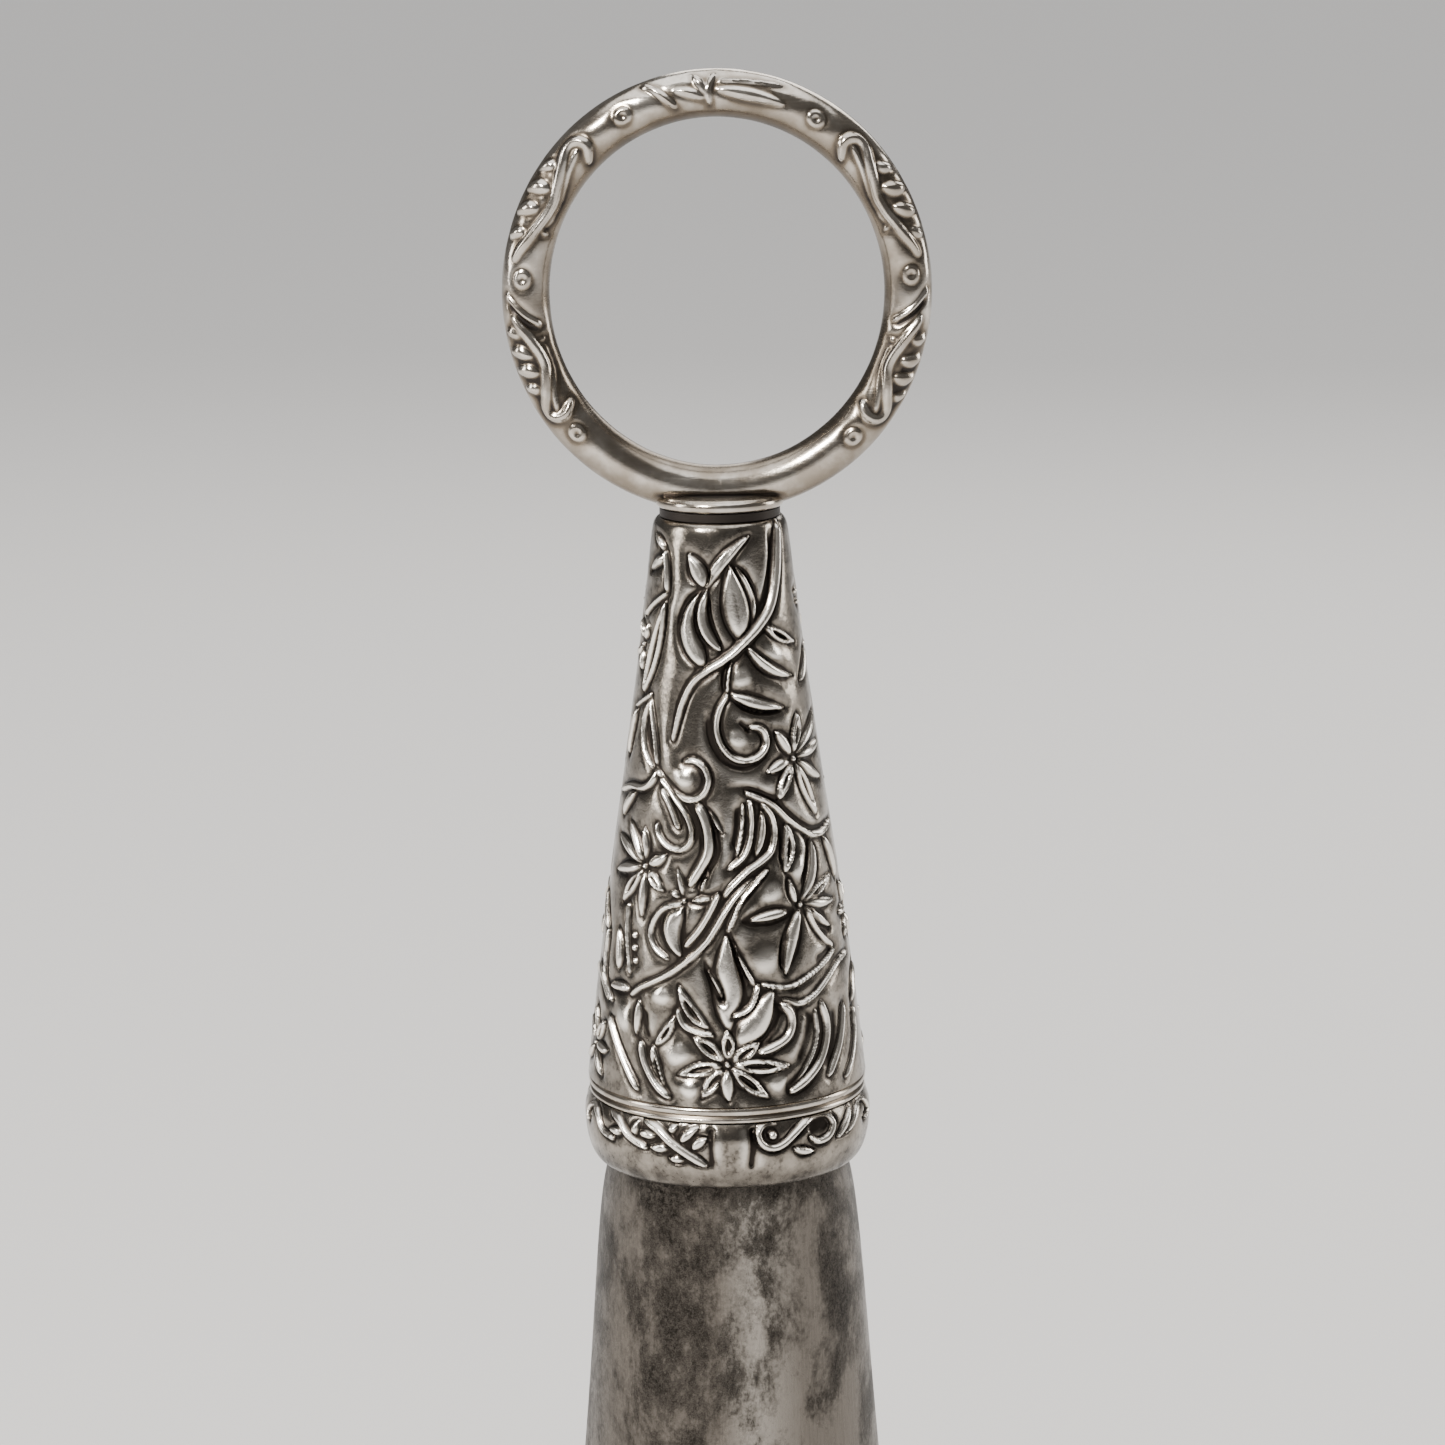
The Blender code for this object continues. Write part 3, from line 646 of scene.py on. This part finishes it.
def chase_ring(relief):
    """Acanthus scrolls between pitted dots; across runs round the ring, down is towards its inside."""
    degree = RING_MEAN_RADIUS * math.pi / 180

    def place(point, start, way, size):
        return start * degree + way * size * point[0], -point[1]

    for group in RING_GROUPS:
        for half_width, bend, base, tip in RING_LOBES:
            relief.leaf(half_width, bend, place(base, *group), place(tip, *group))
        relief.stem([place(point, *group) for point in RING_UNDERLINE], 0.15)
        relief.stem([place(point, *group) for point in RING_SCROLL], 0.34)
    for angle in RING_DOTS:
        relief.boss((angle * degree, -0.2), 0.60, 0.36)
    relief.stem([(-4.2, -1.6), (-3.5, -0.7), (-2.6, 0.6)], 0.21)
    relief.leaf(0.32, 0.08, (-0.5, 0.3), (-2.5, -0.5))
    relief.leaf(0.28, 0.05, (-0.5, 0.1), (-1.3, -1.5))
    relief.stem([(-0.3, 0.7), (-0.4, -0.3), (0.0, -1.5)], 0.14)
    relief.leaf(0.48, 0.05, (0.2, -0.3), (4.5, -0.1))
    relief.stem([(0.3, -0.9), (2.0, -1.0), (4.0, -1.3)], 0.15)
    for side in (-1, 1):
        relief.stem([(side * 19.2, -1.4), (side * 20.4, -0.2), (side * 21.2, 0.9)], 0.18)
        relief.score([(side * 19.6, -1.3), (side * 20.9, -0.1), (side * 21.6, 0.9)], 0.16, 0.2)


def make_ring(finish):
    """Round rod on an oval: the relief is chased on front and back and folds over the outer edge."""
    rows, columns = 96, 770
    around = np.linspace(-math.pi, math.pi, columns, endpoint=False)[None, :]
    roll = np.linspace(math.pi, -math.pi, rows, endpoint=False)[:, None]
    folded = np.where(np.abs(roll) > math.pi / 2, np.sign(roll) * math.pi - roll, roll)
    across = np.broadcast_to(around * RING_MEAN_RADIUS, (rows, columns))
    down = np.broadcast_to(-folded * RING_ROD, (rows, columns))
    relief = Relief(across, down, rise=0.20, sink=0.15)
    chase_ring(relief)
    relief.wear(0.85)
    relief.unevenness(seed=9, cells=4, amount=0.02)
    rod = RING_ROD - 0.02 + relief.height
    outward = np.stack([np.sin(around) / RING_HALF_WIDTH, np.cos(around) / RING_HALF_HEIGHT], -1)
    outward = outward / np.linalg.norm(outward, axis=-1, keepdims=True)
    reach = rod * np.sin(roll)
    x = RING_HALF_WIDTH * np.sin(around) + reach * outward[..., 0]
    z = RING_HALF_HEIGHT * np.cos(around) + reach * outward[..., 1]
    points = np.stack([x, -rod * np.cos(roll), z], -1)
    # Darker band where the ring meets the cuff, a painted dark reflection on the ring's inside, and
    # painted shade on the outside of its lower part.
    dark_at_cuff = np.exp(-(((z + CUFF_TOP) / 0.22) ** 2)) * np.clip(4.3 - np.abs(x), 0, 1)
    # Painted dark reflection: the ring's inside is darkened.
    inside = np.clip(-0.2 - 1.2 * np.sin(roll), 0, 1)
    painted_shade_below = np.clip(np.sin(roll) * (0.3 - np.cos(around)), 0, 1)
    tones = 0.5 + 0.9 * (relief.tone() - 0.5) - 0.4 * dark_at_cuff - 0.22 * inside - 0.20 * painted_shade_below
    faces = grid_faces(rows, columns, True, True)
    points = points.reshape(-1, 3)
    return make_piece("ring_chased", points, faces, finish, ["ring"], tones.ravel())


# ---------------------------------------------------------------- cuff, bead, collar

def turned_piece(name, profile, columns, finish, node, tones, solid=False):
    """Profile of (radius, down) turned round; tones gives how rubbed each profile point is.

    A ring's profile closes on itself. A solid's starts and ends at the axis, with a flat cap at each.
    """
    profile = np.array(profile, float)
    angle = np.linspace(0, TAU, columns, endpoint=False)[None, :]
    points = turned_points(profile[:, :1], profile[:, 1:], angle).reshape(-1, 3)
    faces = grid_faces(len(profile), columns, not solid, True)
    if solid:
        faces += end_caps(len(profile), columns)
    return make_piece(name, points, faces, finish, [node], np.repeat(tones, columns))


def round_corner(centre, radius, start, end, steps=8):
    """Arc of a profile, in degrees: 0 points outwards and 90 points down."""
    turn = np.radians(np.linspace(start, end, steps))
    return [(centre[0] + radius * math.cos(a), centre[1] + radius * math.sin(a)) for a in turn]


def make_cuff(finish):
    """Turned cup: low dome that carries the ring, round rim, blackened neck, spigot into the shells."""
    rim, rim_roll, neck, spigot_radius, eye = cuff_high[0] + 0.08, 0.40, 3.86, 3.3, 0.05
    dome = [(r, CUFF_TOP + 0.08 * (r / rim) ** 3) for r in np.linspace(eye, rim - 0.5, 12)]
    roll = round_corner((rim - rim_roll, CUFF_TOP + rim_roll + 0.06), rim_roll, -82, 96, 18)
    groove = [(neck, CUFF_TOP + 2 * rim_roll + 0.08), (neck, SHELL_TOP - 0.06)]
    foot = -cuff_low[2]
    spigot = [(spigot_radius, SHELL_TOP + 0.2), (spigot_radius, foot), (eye, foot)]
    profile = dome + roll + groove + spigot
    # Dark on the dome under the ring, lighter up to the rim, darker again in the neck and on the spigot.
    tones = [0.05] * 8 + [0.2, 0.3, 0.4, 0.5] + [0.62] * 14 + [0.3] * 4 + [0.1] * 5
    return turned_piece("cuff_cup", profile, 160, finish, "neck_cuff", tones, True)


def make_bead(finish):
    """Two round wires, one under the other, the upper one bolder."""
    outer = bead_high[0]
    middle = -(bead_high[2] + bead_low[2]) / 2
    upper = round_corner((outer - 0.33, middle - 0.24), 0.33, -100, 62, 12)
    lower = round_corner((outer - 0.24, middle + 0.34), 0.2, -52, 100, 10)
    profile = upper + lower + [(outer - 1.0, middle + 0.5), (outer - 1.0, middle - 0.5)]
    tones = [0.35] + [0.62] * 9 + [0.25] * 3 + [0.6] * 7 + [0.3] * 2 + [0.2] * 2
    return turned_piece("bead_wire", profile, 300, finish, "shell_bead", tones)


COLLAR_LOBES = [
    # base, tip
    ((-2.3, 53.7), (-1.3, 52.9)),
    ((-3.1, 53.3), (-1.9, 52.2)),
    ((-4.0, 52.9), (-3.2, 51.9)),
    ((-2.7, 54.1), (-3.9, 54.4)),
    ((-3.8, 53.5), (-5.3, 53.8)),
    ((-4.8, 52.9), (-6.4, 52.9)),
    ((-6.6, 53.5), (-6.3, 52.2)),
    ((-7.6, 53.1), (-9.0, 53.3)),
]


def collar_ornament(relief):
    """Plain cartouche at the front, opposed scrolls on its right and an acanthus spray on its left."""
    scroll = [
        (3.3, 52.1), (2.5, 52.05), (2.0, 52.7), (2.3, 53.4), (3.0, 53.7), (3.8, 53.45), (4.6, 52.85),
        (5.5, 52.3), (6.5, 52.0), (7.4, 52.2), (7.7, 52.9), (7.2, 53.6), (6.3, 53.75), (5.7, 53.4),
    ]
    right_hook = [
        (8.6, 53.8), (9.6, 53.5), (10.4, 52.8), (11.3, 52.2), (12.3, 52.4), (12.6, 53.2), (11.8, 53.6),
    ]
    left_hook = [(-8.6, 53.9), (-9.8, 53.6), (-10.6, 52.8), (-11.6, 52.3), (-12.4, 52.8), (-12.2, 53.5)]
    relief.bed(0.55, 0.0, (5.6, 52.9), (7.2, 52.8))
    relief.stem(scroll, 0.27)
    relief.boss((2.95, 52.85), 0.3)
    relief.stem(right_hook, 0.24)
    relief.leaf(0.28, 0.1, (4.4, 53.9), (6.0, 54.3))
    relief.leaf(0.28, 0.1, (8.0, 53.9), (9.8, 52.3))
    for base, tip in COLLAR_LOBES:
        relief.leaf(0.33, -0.12, base, tip)
    relief.stem([(-1.5, 54.7), (-2.7, 54.0), (-3.8, 53.3), (-4.7, 52.6), (-5.9, 52.1)], 0.33)
    relief.stem([(-5.6, 53.9), (-7.0, 53.4), (-8.0, 52.6), (-9.2, 52.1)], 0.28)
    relief.stem(left_hook, 0.24)
    relief.score([(1.6, 51.9), (1.65, 53.4), (1.45, 55.2)], 0.26, 0.2)
    relief.score([(-1.05, 51.9), (-1.1, 53.4), (-1.0, 55.0)], 0.2, 0.16)


def make_collar(finish):
    """Belly drawn in to a rolled lip; the ornament is stamped on both halves alike."""
    columns = 600
    belly = COLLAR_TOP + 1.2
    rim = COLLAR_TOP - 0.2
    rise = np.linspace(0, 1, 16, endpoint=False)
    crown = np.stack([COLLAR_RADIUS - 0.42 * (1 - rise) ** 2.5, rim + (belly - rim) * rise], -1)
    turn = np.linspace(0, math.pi / 2, 42)
    drawn_in = (COLLAR_RADIUS - COLLAR_LIP_RADIUS) * (1 - np.cos(turn))
    sweep = np.stack([COLLAR_RADIUS - drawn_in, belly + (COLLAR_BOTTOM - belly) * np.sin(turn)], -1)
    bore = [(8.1, COLLAR_BOTTOM - 0.12), (8.16, COLLAR_BOTTOM - 1.0)]
    bore += [(COLLAR_BORE, COLLAR_TOP + 0.8), (COLLAR_BORE, rim)]
    profile = np.concatenate([crown, sweep, np.array(bore)])
    worked = len(crown) + len(sweep)
    angle = np.linspace(-math.pi, math.pi, columns, endpoint=False)[None, :]
    half = np.where(np.abs(angle) > math.pi / 2, angle - np.sign(angle) * math.pi, angle)
    down = np.broadcast_to(profile[:, 1:], (len(profile), columns))
    relief = Relief(np.broadcast_to(half * COLLAR_RADIUS, down.shape), down, rise=0.17, sink=0.16)
    collar_ornament(relief)
    relief.unevenness(seed=12, cells=4, amount=0.02)
    rim_fade = np.clip((down - rim) / 0.35, 0, 1)
    fade = rim_fade * np.clip((COLLAR_BOTTOM - 1.3 - down) / 0.4, 0, 1)
    fade[worked:] = 0
    points = turned_points(profile[:, :1] + relief.height * fade, down, angle).reshape(-1, 3)
    lip = np.clip((down - COLLAR_BOTTOM + 1.6) / 0.8, 0, 1)
    tones = 0.5 + (relief.tone() - 0.5) * fade - 0.14 * lip
    tones[worked:] = 0.25
    faces = grid_faces(len(profile), columns, True, True)
    node = "base_collar"
    return make_piece("collar_stamped", points, faces, finish, [node], tones.ravel())


# ---------------------------------------------------------------- blade

def make_blade(finish):
    """Sheet of even thickness: each section is an arc, with rounded edges, that flattens to the heel.

    Half width grows as a taper with a slight flare, less a quick draw-in under the collar. The
    last stretch is rounded off by an ellipse and thins at its very end, and shallow dents follow
    three slow sine waves.
    """
    socket, mouth = BLADE_SOCKET_RADIUS, COLLAR_BOTTOM
    under_collar = np.linspace(BLADE_TOP, mouth, 8, endpoint=False)
    body = np.linspace(mouth, BLADE_TIP - BLADE_TIP_ROUND, 150)
    tip = BLADE_TIP - BLADE_TIP_ROUND * (1 - np.sin(np.linspace(0, math.pi / 2, 60)[1:]))
    down = np.concatenate([under_collar, body, tip])[:, None]
    below = np.maximum(down - mouth, 0)
    run = below / (BLADE_TIP - mouth)
    neck = BLADE_NECK_IN * np.exp(-below / BLADE_NECK_REACH)
    width = BLADE_WIDTH + BLADE_TAPER * below + BLADE_FLARE * below**2 - neck
    width = np.where(down < mouth, socket, width)
    depth = socket + BLADE_BULGE * np.sin(math.pi * run)
    arc_radius = (width**2 + depth**2) / (2 * depth)
    into_tip = np.clip(1 - (BLADE_TIP - down) / BLADE_TIP_ROUND, 0, 0.9995)
    half_arc = 2 * np.arctan2(depth, width) * np.sqrt(1 - into_tip**2) * arc_radius
    thick = BLADE_SHEET * np.clip((BLADE_TIP - down) / 0.5, 0.02, 1) ** 0.5
    edge = np.minimum(thick / 2, half_arc)

    flat = np.linspace(-1, 1, 60)
    curl = np.linspace(-math.pi / 2, math.pi / 2, 9)[1:-1]
    none, whole = np.zeros(len(flat)), np.ones(len(curl))
    across = np.concatenate([flat, whole, -flat, -whole])[None, :]
    beyond = np.concatenate([none, np.cos(curl), none, -np.cos(curl)])[None, :]
    inward = np.concatenate([none, (1 + np.sin(curl)) / 2, none + 1, (1 - np.sin(curl)) / 2])[None, :]
    arc = across * (half_arc - edge) + beyond * edge
    turn = arc / arc_radius
    dents = 0.03 * np.sin(arc * 0.55 + 1.3) * np.sin(down * 0.21 + 0.4)
    dents += 0.02 * np.sin(arc * 0.9 - down * 0.13)
    radius = arc_radius - inward * thick + dents * np.clip(below / 6, 0, 1)
    front = -socket + BLADE_BOW * run**2
    y = front + arc_radius - radius * np.cos(turn)
    points = np.stack([radius * np.sin(turn), y, np.broadcast_to(-down, turn.shape)], -1)
    rows, columns = turn.shape
    faces = grid_faces(rows, columns, False, True) + end_caps(rows, columns)
    return make_piece("blade_sheet", points.reshape(-1, 3), faces, finish, ["blade"])


# ---------------------------------------------------------------- finishes

class Wire:
    """A shader socket that arithmetic can be written with; each operation adds a Math node."""

    def __init__(self, finish, socket):
        self.finish = finish
        self.socket = socket

    def math(self, operation, first, second):
        return self.finish.add("ShaderNodeMath", {"operation": operation}, {0: first, 1: second})

    def __add__(self, other):
        return self.math("ADD", self, other)

    def __sub__(self, other):
        return self.math("SUBTRACT", self, other)

    def __mul__(self, other):
        return self.math("MULTIPLY", self, other)

    def __rsub__(self, other):
        return self.math("SUBTRACT", other, self)

    __radd__ = __add__
    __rmul__ = __mul__


class Finish:
    """A metal, cement or paper finish: one Principled shader and the nodes that feed it."""

    def __init__(self, name, **constants):
        self.material = bpy.data.materials.new(name)
        self.material.use_nodes = True
        self.nodes = self.material.node_tree.nodes
        self.links = self.material.node_tree.links
        self.shader = self.nodes["Principled BSDF"]
        for key, value in constants.items():
            self.shader.inputs[key.replace("_", " ").title()].default_value = value

    def add(self, kind, settings=None, sockets=None, output=0):
        """Node of a kind, its settings first, then its sockets' values or links."""
        node = self.nodes.new(kind)
        for key, value in (settings or {}).items():
            if key == "stops":
                self.set_stops(node.color_ramp, value)
            else:
                setattr(node, key, value)
        for key, value in (sockets or {}).items():
            self.feed(node.inputs[key], value)
        return Wire(self, node.outputs[output])

    def set_stops(self, ramp, stops):
        while len(ramp.elements) < len(stops):
            ramp.elements.new(0.5)
        for element, (place, value) in zip(ramp.elements, stops):
            element.position = place
            element.color = (*value, 1) if isinstance(value, tuple) else (value, value, value, 1)

    def feed(self, socket, value):
        if isinstance(value, Wire):
            self.links.new(value.socket, socket)
        elif socket.type == "RGBA":
            socket.default_value = (*value, 1)
        else:
            socket.default_value = value

    def drive(self, **sockets):
        for key, value in sockets.items():
            self.feed(self.shader.inputs[key.replace("_", " ").title()], value)

    def place(self, stretch=(1, 1, 1), turn=(0, 0, 0)):
        """Object coordinates in millimetres, stretched and turned."""
        spot = self.add("ShaderNodeTexCoord", output="Object")
        scale = tuple(value / MM for value in stretch)
        return self.add("ShaderNodeMapping", None, {"Vector": spot, "Scale": scale, "Rotation": turn})

    def noise(self, scale, detail, roughness, place=None, distortion=0.0):
        sockets = {"Scale": scale, "Detail": detail, "Roughness": roughness, "Distortion": distortion}
        sockets["Vector"] = place or self.place()
        return self.add("ShaderNodeTexNoise", None, sockets)

    def ramp(self, value, stops, colour=False):
        found = self.add("ShaderNodeValToRGB", {"stops": stops}, {"Fac": value}, "Color")
        if colour:
            return found
        return self.add("ShaderNodeRGBToBW", None, {"Color": found})

    def mix(self, share, first, second):
        return self.add("ShaderNodeMix", {"data_type": "RGBA"}, {0: share, 6: first, 7: second}, 2)

    def bump(self, height, distance, strength):
        sockets = {"Height": height, "Distance": distance * MM, "Strength": strength}
        return self.add("ShaderNodeBump", None, sockets)

    def tone(self):
        return self.add("ShaderNodeAttribute", {"attribute_name": "tone"}, None, "Fac")


def stamped_finish(name, ground, crest, oxide_and_shade):
    """Silver that was dipped dark and rubbed back: black grooves, grey ground, bright crests.

    The oxide colour also lies as painted shade over broad low areas, and the crest colour as
    painted highlight over broad raised ones.
    """
    f = Finish(name, metallic=1.0)
    tone = f.tone()
    grime = f.noise(0.7, 6, 0.62)
    pits = f.noise(3.4, 5, 0.66)
    level = tone + (grime - 0.5) * 0.36
    # Dark puts the oxide in the hollows, and also as painted shade where the tone is low over broad
    # areas; bright puts the crest colour on rubbed crests, and also as painted highlight over broad
    # raised areas.
    dark = f.ramp(level, [(0.22, 1.0), (0.43, 0.38), (0.54, 0.0)])
    bright = f.ramp(tone + (grime - 0.5) * 0.06, [(0.54, 0.0), (0.70, 1.0)])
    mottled = f.mix(f.ramp(grime, [(0.36, 0.0), (0.66, 1.0)]), tuple(v * 0.62 for v in ground), ground)
    pitted = f.ramp(pits * 0.6 + (1 - grime) * 0.4, [(0.51, 0.0), (0.62, 0.60)])
    colour = f.mix(dark, f.mix(bright, f.mix(pitted, mottled, oxide_and_shade), crest), oxide_and_shade)
    rough = 0.14 + dark * 0.22 + bright * 0.06 + pitted * 0.16
    f.drive(base_color=colour, roughness=rough, normal=f.bump(pits, 0.03, 0.5))
    return f.material


def polished_finish(name):
    """Ring and cuff: the same plate worn bright, with faint warm tarnish and handling scratches; on the
    ring the tone also brings painted shade and a painted dark reflection.
    """
    f = Finish(name, metallic=1.0)
    tone = f.tone()
    cloud = f.noise(0.45, 4, 0.6)
    grain = f.noise(5, 3, 0.6)
    scratch = f.noise(1.0, 3, 0.7, f.place((0.7, 0.7, 9), (0.5, 0.3, 0)))
    level = tone + (cloud - 0.5) * 0.14
    dark = f.ramp(level, [(0.12, 1.0), (0.32, 0.0)])
    # On the ring this mask also lays painted shade on the lower outside and a painted dark reflection on
    # the inside.
    tarnish_and_shade = f.ramp(level, [(0.30, 1.0), (0.48, 0.0)])
    warm = f.mix(f.ramp(cloud, [(0.4, 0.0), (0.66, 1.0)]), (0.40, 0.355, 0.30), (0.62, 0.58, 0.525))
    colour = f.mix(dark, f.mix(tarnish_and_shade, warm, (0.19, 0.158, 0.122)), (0.035, 0.030, 0.027))
    scuffed = f.ramp(scratch, [(0.5, 0.0), (0.8, 1.0)])
    rough = 0.17 + dark * 0.22 + tarnish_and_shade * 0.06 + scuffed * 0.10 + (grain - 0.5) * 0.06
    f.drive(base_color=colour, roughness=rough, normal=f.bump(grain * 0.6 + scratch * 0.4, 0.02, 0.5))
    return f.material


def blade_finish(name):
    """Plated sheet with a painted highlight band and cloudy tarnish, thickest in the middle and at the
    collar.
    """
    f = Finish(name, metallic=1.0)
    spot = f.add("ShaderNodeSeparateXYZ", None, {"Vector": f.place()}, "X")
    height_mm = f.add("ShaderNodeSeparateXYZ", None, {"Vector": f.place()}, "Z")
    cloud = f.noise(0.17, 9, 0.74, f.place((1, 1, 0.6)), 0.2)
    grains = f.noise(3.4, 4, 0.68)
    fine = f.noise(11, 3, 0.7)
    brushed = f.noise(1.2, 4, 0.7, f.place((6.0, 6.0, 0.35)))
    rub = f.noise(1.0, 4, 0.75, f.place((5.0, 5.0, 0.8), (0.0, 0.55, 0.0)))
    middle = f.ramp(spot * 0.05 + 0.5, [(0.08, 0.0), (0.40, 1.0), (0.52, 0.85), (0.78, 0.0)])
    under_collar = f.ramp((height_mm + COLLAR_BOTTOM) * 0.1 + 0.5, [(0.30, 0.0), (0.47, 1.0)])
    level = cloud + (grains - 0.5) * 0.26 + middle * 0.10 + under_collar * 0.08 - 0.04
    patch = f.ramp(level, [(0.41, 0.0), (0.47, 0.35), (0.53, 0.85), (0.60, 1.0)])
    speck = f.ramp(fine * 0.4 + grains * 0.6, [(0.44, 1.0), (0.58, 0.0)])
    # Painted highlight: a lighter vertical band down the front of the blade.
    painted_highlight_band = f.ramp(spot * 0.05 + cloud * 0.2 + 0.4, [(0.44, 0.0), (0.56, 1.0), (0.72, 0.1)])
    sheet = f.mix(brushed, (0.080, 0.070, 0.060), (0.190, 0.170, 0.148))
    plain = f.mix(painted_highlight_band * 0.7, sheet, (0.36, 0.335, 0.30))
    stained = f.mix(speck, (0.060, 0.053, 0.046), (0.007, 0.006, 0.005))
    colour = f.mix(patch, plain, stained)
    streak = f.ramp(rub, [(0.50, 0.0), (0.72, 1.0)])
    rough = 0.27 + patch * 0.14 + (brushed - 0.5) * 0.16 + streak * 0.08
    height = brushed * 0.3 + grains * patch * 0.9 + streak * 0.25
    f.drive(base_color=colour, roughness=rough, normal=f.bump(height, 0.04, 0.5))
    return f.material


def plain_metal(name, bright, dull, roughness):
    """Unplated inner metal: dull with stains and file marks."""
    f = Finish(name, metallic=1.0)
    stain = f.noise(0.8, 5, 0.6)
    marks = f.noise(1.0, 3, 0.7, f.place((8, 1, 1)))
    f.drive(
        base_color=f.mix(f.ramp(stain, [(0.38, 0.0), (0.65, 1.0)]), dull, bright),
        roughness=roughness + (stain - 0.5) * 0.3 + (marks - 0.5) * 0.15,
        normal=f.bump(marks, 0.02, 0.6),
    )
    return f.material


def cement_finish(name):
    """Hard brown pitch with soft lumps."""
    f = Finish(name, metallic=0.0)
    lumps = f.noise(1.5, 5, 0.65)
    f.drive(
        base_color=f.mix(lumps, (0.09, 0.06, 0.045), (0.22, 0.16, 0.12)),
        roughness=0.75 + (lumps - 0.5) * 0.3,
        normal=f.bump(lumps, 0.15, 0.8),
    )
    return f.material


def floor_finish(name):
    """Plain pale paper."""
    f = Finish(name, roughness=0.75)
    f.drive(base_color=(0.62, 0.61, 0.60))
    return f.material


def refinish(node, material):
    """Give a CAD node that stays its finished material."""
    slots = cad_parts[node].material_slots
    for slot in slots:
        slot.material = material
    if not slots:
        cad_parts[node].data.materials.append(material)


# ---------------------------------------------------------------- room

FLOOR_REACH = 60.0          # metres
FLOOR_GAP = 0.0002


def make_floor():
    """Wide sheet of paper a hair below the blade's tip."""
    side = FLOOR_REACH
    level = blade_low[2] * MM - FLOOR_GAP
    mesh = bpy.data.meshes.new("floor")
    corners = [(-side, -side, level), (side, -side, level), (side, side, level), (-side, side, level)]
    mesh.from_pydata(corners, [], [(0, 1, 2, 3)])
    mesh.materials.append(floor_finish("floor_paper"))
    floor = bpy.data.objects.new("floor", mesh)
    bpy.context.scene.collection.objects.link(floor)


def soft_box(name, azimuth, elevation, distance, size, power, aim):
    """Area light at a bearing from the front: positive azimuth is to the right."""
    light = bpy.data.lights.new(name, "AREA")
    light.shape = "RECTANGLE"
    light.size, light.size_y = size
    light.energy = power
    light.color = (1.0, 0.965, 0.92)
    lamp = bpy.data.objects.new(name, light)
    a, e = math.radians(azimuth), math.radians(elevation)
    offset = np.array([math.sin(a) * math.cos(e), -math.cos(a) * math.cos(e), math.sin(e)]) * distance
    lamp.location = aim + offset
    lamp.rotation_euler = (math.pi / 2 - e, 0, a)
    bpy.context.scene.collection.objects.link(lamp)


def make_room():
    """Key light high on the left, strips at both sides, a fill behind, a soft sun and a grey sky."""
    middle = np.array([0, 0, -0.03])
    soft_box("key", -34, 38, 0.9, (0.15, 0.15), 16, middle)
    soft_box("left", -78, 16, 1.1, (0.24, 0.6), 4.5, middle)
    soft_box("right", 104, 14, 1.1, (0.30, 0.6), 4, middle)
    soft_box("back", 165, 32, 1.1, (0.8, 0.5), 5, middle)
    overhead = bpy.data.lights.new("overhead", "SUN")
    overhead.energy = 2.6
    overhead.angle = math.radians(70)
    bpy.context.scene.collection.objects.link(bpy.data.objects.new("overhead", overhead))
    world = bpy.data.worlds.new("studio")
    world.use_nodes = True
    sky = world.node_tree.nodes["Background"]
    sky.inputs["Color"].default_value = (0.63, 0.61, 0.59, 1)
    sky.inputs["Strength"].default_value = 0.26
    bpy.context.scene.world = world


def make_camera():
    """Long lens a little higher than the ring, tipped down on the handle and rolled a little."""
    target = np.array([0.0, 0.0, -27.77])
    tip_down, away, roll = math.radians(11.7), 271.0, math.radians(-0.74)
    camera = bpy.data.objects.new("camera", bpy.data.cameras.new("camera"))
    camera.data.lens = 104.6
    camera.data.sensor_width = 36.0
    camera.data.clip_start = 0.01
    camera.data.clip_end = 200
    camera.location = (target + away * np.array([0, -math.cos(tip_down), math.sin(tip_down)])) * MM
    camera.rotation_mode = "ZXY"
    camera.rotation_euler = (math.pi / 2 - tip_down, 0, 0)
    camera.rotation_mode = "QUATERNION"
    spin = math.cos(roll / 2), 0, 0, math.sin(roll / 2)
    camera.rotation_quaternion = camera.rotation_quaternion @ type(camera.rotation_quaternion)(spin)
    bpy.context.scene.collection.objects.link(camera)
    bpy.context.scene.camera = camera


def build():
    make_camera()
    # The oxide colour also serves as painted shade, the crest colour as painted highlight.
    ground, crest, oxide_and_shade = (0.35, 0.315, 0.27), (0.90, 0.855, 0.78), (0.024, 0.020, 0.017)
    stamped = stamped_finish("oxidised_silver_stamped", ground, crest, oxide_and_shade)
    polished = polished_finish("silver_polished")
    make_ring(polished)
    make_cuff(polished)
    make_handle_shell("shell_front_stamped", "handle_shell_front", 1, stamped)
    make_handle_shell("shell_back_stamped", "handle_shell_back", -1, stamped)
    make_bead(polished)
    make_collar(stamped)
    make_blade(blade_finish("blade_tarnished"))
    steel = plain_metal("steel_plain", bright=(0.46, 0.45, 0.44), dull=(0.16, 0.12, 0.09), roughness=0.42)
    for node in ("tang", "tang_rivet_left", "tang_rivet_right"):
        refinish(node, steel)
    brass = plain_metal("brass_dull", bright=(0.58, 0.44, 0.22), dull=(0.22, 0.14, 0.07), roughness=0.40)
    refinish("end_plate", brass)
    refinish("filler_core", cement_finish("pitch_cement"))
    make_floor()
    make_room()


build()
